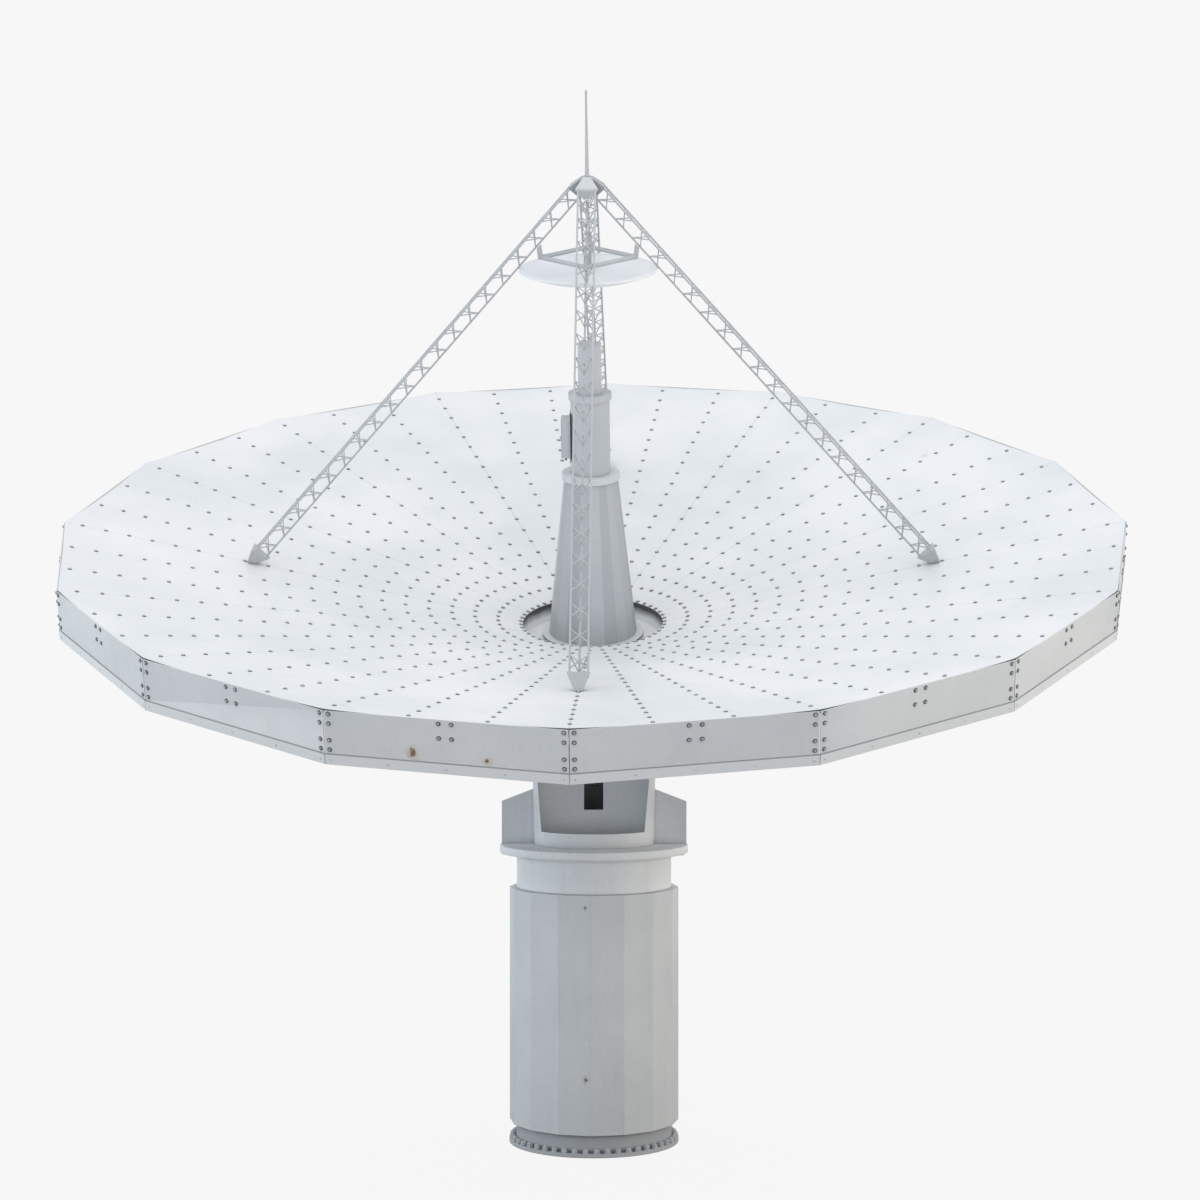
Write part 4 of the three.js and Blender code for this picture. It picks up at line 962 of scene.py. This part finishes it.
def gearmotor(name, axis, radius, gearbox, motor_end, stand=None):
    """A gearbox, (from, to) along the axis and with a radius, and a finned motor from it to its end."""
    unit = Shape()
    near, far = gearbox
    waist = radius - 0.010
    unit.turned([
        (0, near), (radius, near), (radius, near + 0.014), (waist, near + 0.018), (waist, far - 0.018),
        (radius, far - 0.014), (radius, far - 0.004), (radius - 0.004, far), (0, far),
    ], MOTOR_SIDES, axis)
    start, end, core = far - 0.0005, motor_end, MOTOR_RADIUS - 0.010
    unit.turned([
        (0, start), (core, start), (core, end - 0.034), (MOTOR_RADIUS, end - 0.032),
        (MOTOR_RADIUS, end - 0.006), (MOTOR_RADIUS - 0.008, end), (0, end),
    ], MOTOR_SIDES, axis)
    for i in range(FINS):
        turn = axis @ Matrix.Rotation(2 * math.pi * i / FINS, 4, "Z")
        unit.block((MOTOR_RADIUS - FIN_HEIGHT, -FIN_HALF, start + 0.010),
                   (MOTOR_RADIUS, FIN_HALF, end - 0.036), turn)
    for i in range(CASE_BOLTS):
        at = polar(radius - 0.014, 2 * math.pi * i / CASE_BOLTS, far)
        unit.bolt(axis @ on_surface(at, UP), 0.007, 0.006, washer=0.009)
    if stand:
        unit.block(*stand)
    piece(name + "_unit", unit, "turret", MOTOR_PAINT, smooth=30, bevel=0.001, replaces=[name])


low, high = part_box("azimuth_gearmotor")
azimuth_axis = Matrix.Translation(((low.x + high.x) / 2, (low.y + high.y) / 2, 0))
gearmotor("azimuth_gearmotor", azimuth_axis, 0.090, (low.z, low.z + 0.150), high.z)
pinion = Vector(joints["elevation_pinion_spin"]["pos_m"])
low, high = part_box("elevation_gearmotor")
elevation_axis = Matrix.Translation((0, pinion.y, pinion.z)) @ Matrix.Rotation(math.pi / 2, 4, "Y")
elevation_stand = ((0.095, pinion.y - 0.080, low.z), (0.175, pinion.y + 0.080, pinion.z - 0.040))
gearmotor("elevation_gearmotor", elevation_axis, 0.105, (low.x, low.x + 0.110), high.x, elevation_stand)

# ---- floor, light and camera ----
FLOOR_RADIUS, FLOOR_SIDES = 9.0, 96
BACKDROP = 0.930                    # how bright the floor and the world look
SHADE_SHARE = 0.03                  # the part of that which takes shadows
FLOOR_BOUNCE = 0.08                 # how much light the floor gives back to the object


def shader(tree, kind, colour, strength=None):
    made = tree.nodes.new(kind)
    made.inputs["Color"].default_value = colour
    if strength is not None:
        made.inputs["Strength"].default_value = strength
    return made


def split(tree, lighting, shown, output_kind):
    """The first shader lights the object, and the second is what shows behind it."""
    pick = tree.nodes.new("ShaderNodeMixShader")
    path = tree.nodes.new("ShaderNodeLightPath")
    output = tree.nodes.new(output_kind)
    tree.links.new(path.outputs["Is Camera Ray"], pick.inputs[0])
    tree.links.new(lighting.outputs[0], pick.inputs[1])
    tree.links.new(shown.outputs[0], pick.inputs[2])
    tree.links.new(pick.outputs[0], output.inputs["Surface"])


floor_points = [polar(FLOOR_RADIUS, 2 * math.pi * i / FLOOR_SIDES) for i in range(FLOOR_SIDES)]
floor_mesh = bpy.data.meshes.new("floor")
floor_mesh.from_pydata([tuple(p) for p in floor_points], [], [list(range(FLOOR_SIDES))])
floor = bpy.data.objects.new("floor", floor_mesh)
bpy.context.scene.collection.objects.link(floor)
pale_floor = bpy.data.materials.new("pale_floor")
pale_floor.use_nodes = True
floor_tree = pale_floor.node_tree
floor_tree.nodes.clear()
glow = shader(floor_tree, "ShaderNodeEmission", grey(1.0), BACKDROP - SHADE_SHARE)
matt = shader(floor_tree, "ShaderNodeBsdfDiffuse", grey(SHADE_SHARE))
bounce = shader(floor_tree, "ShaderNodeBsdfDiffuse", grey(FLOOR_BOUNCE))
shown = floor_tree.nodes.new("ShaderNodeAddShader")
floor_tree.links.new(glow.outputs[0], shown.inputs[0])
floor_tree.links.new(matt.outputs[0], shown.inputs[1])
split(floor_tree, bounce, shown, "ShaderNodeOutputMaterial")
floor.data.materials.append(pale_floor)

world = bpy.data.worlds.new("studio")
bpy.context.scene.world = world
world.use_nodes = True
world.node_tree.nodes.clear()
plain = shader(world.node_tree, "ShaderNodeBackground", grey(1.0), BACKDROP)
soft = shader(world.node_tree, "ShaderNodeBackground", (0.95, 0.975, 1.0, 1.0), 1.0)
split(world.node_tree, soft, plain, "ShaderNodeOutputWorld")

SOFTBOXES = [       # name, place, aim, size, watts, colour
    ("left_softbox", (-19, -2, 4), (0, 0, 3), (12, 8), 545, (0.66, 0.87, 1.0)),
    ("right_softbox", (19, -3, 4), (0, 0, 3), (12, 8), 530, (1.0, 0.87, 0.54)),
    ("top_softbox", (0, -8, 17), (0, -1, 4), (16, 16), 500, (0.98, 0.99, 0.93)),
    ("front_softbox", (0, -23, 3), (0, 0, 3), (14, 7), 130, (0.81, 0.95, 1.0)),
]
for name, at, aim, size, power, colour in SOFTBOXES:
    lamp = bpy.data.lights.new(name, "AREA")
    lamp.shape = "RECTANGLE"
    lamp.size, lamp.size_y = size
    lamp.energy = power
    lamp.color = colour
    holder = bpy.data.objects.new(name, lamp)
    holder.location = at
    holder.rotation_euler = (Vector(aim) - Vector(at)).to_track_quat("-Z", "Y").to_euler()
    bpy.context.scene.collection.objects.link(holder)

LENS, SENSOR, FAR_CLIP = 75.45, 36.0, 1000.0
CAMERA_AT = (0.777, -21.856, 4.693)
CAMERA_TURN = math.radians(1.9)     # about Z; the camera is level
camera_data = bpy.data.cameras.new("camera")
camera_data.lens = LENS
camera_data.sensor_width = SENSOR
camera_data.clip_end = FAR_CLIP
camera = bpy.data.objects.new("camera", camera_data)
camera.location = CAMERA_AT
camera.rotation_euler = (math.radians(90.0), 0.0, CAMERA_TURN)
bpy.context.scene.collection.objects.link(camera)
bpy.context.scene.camera = camera
bpy.context.scene.view_settings.view_transform = "Standard"
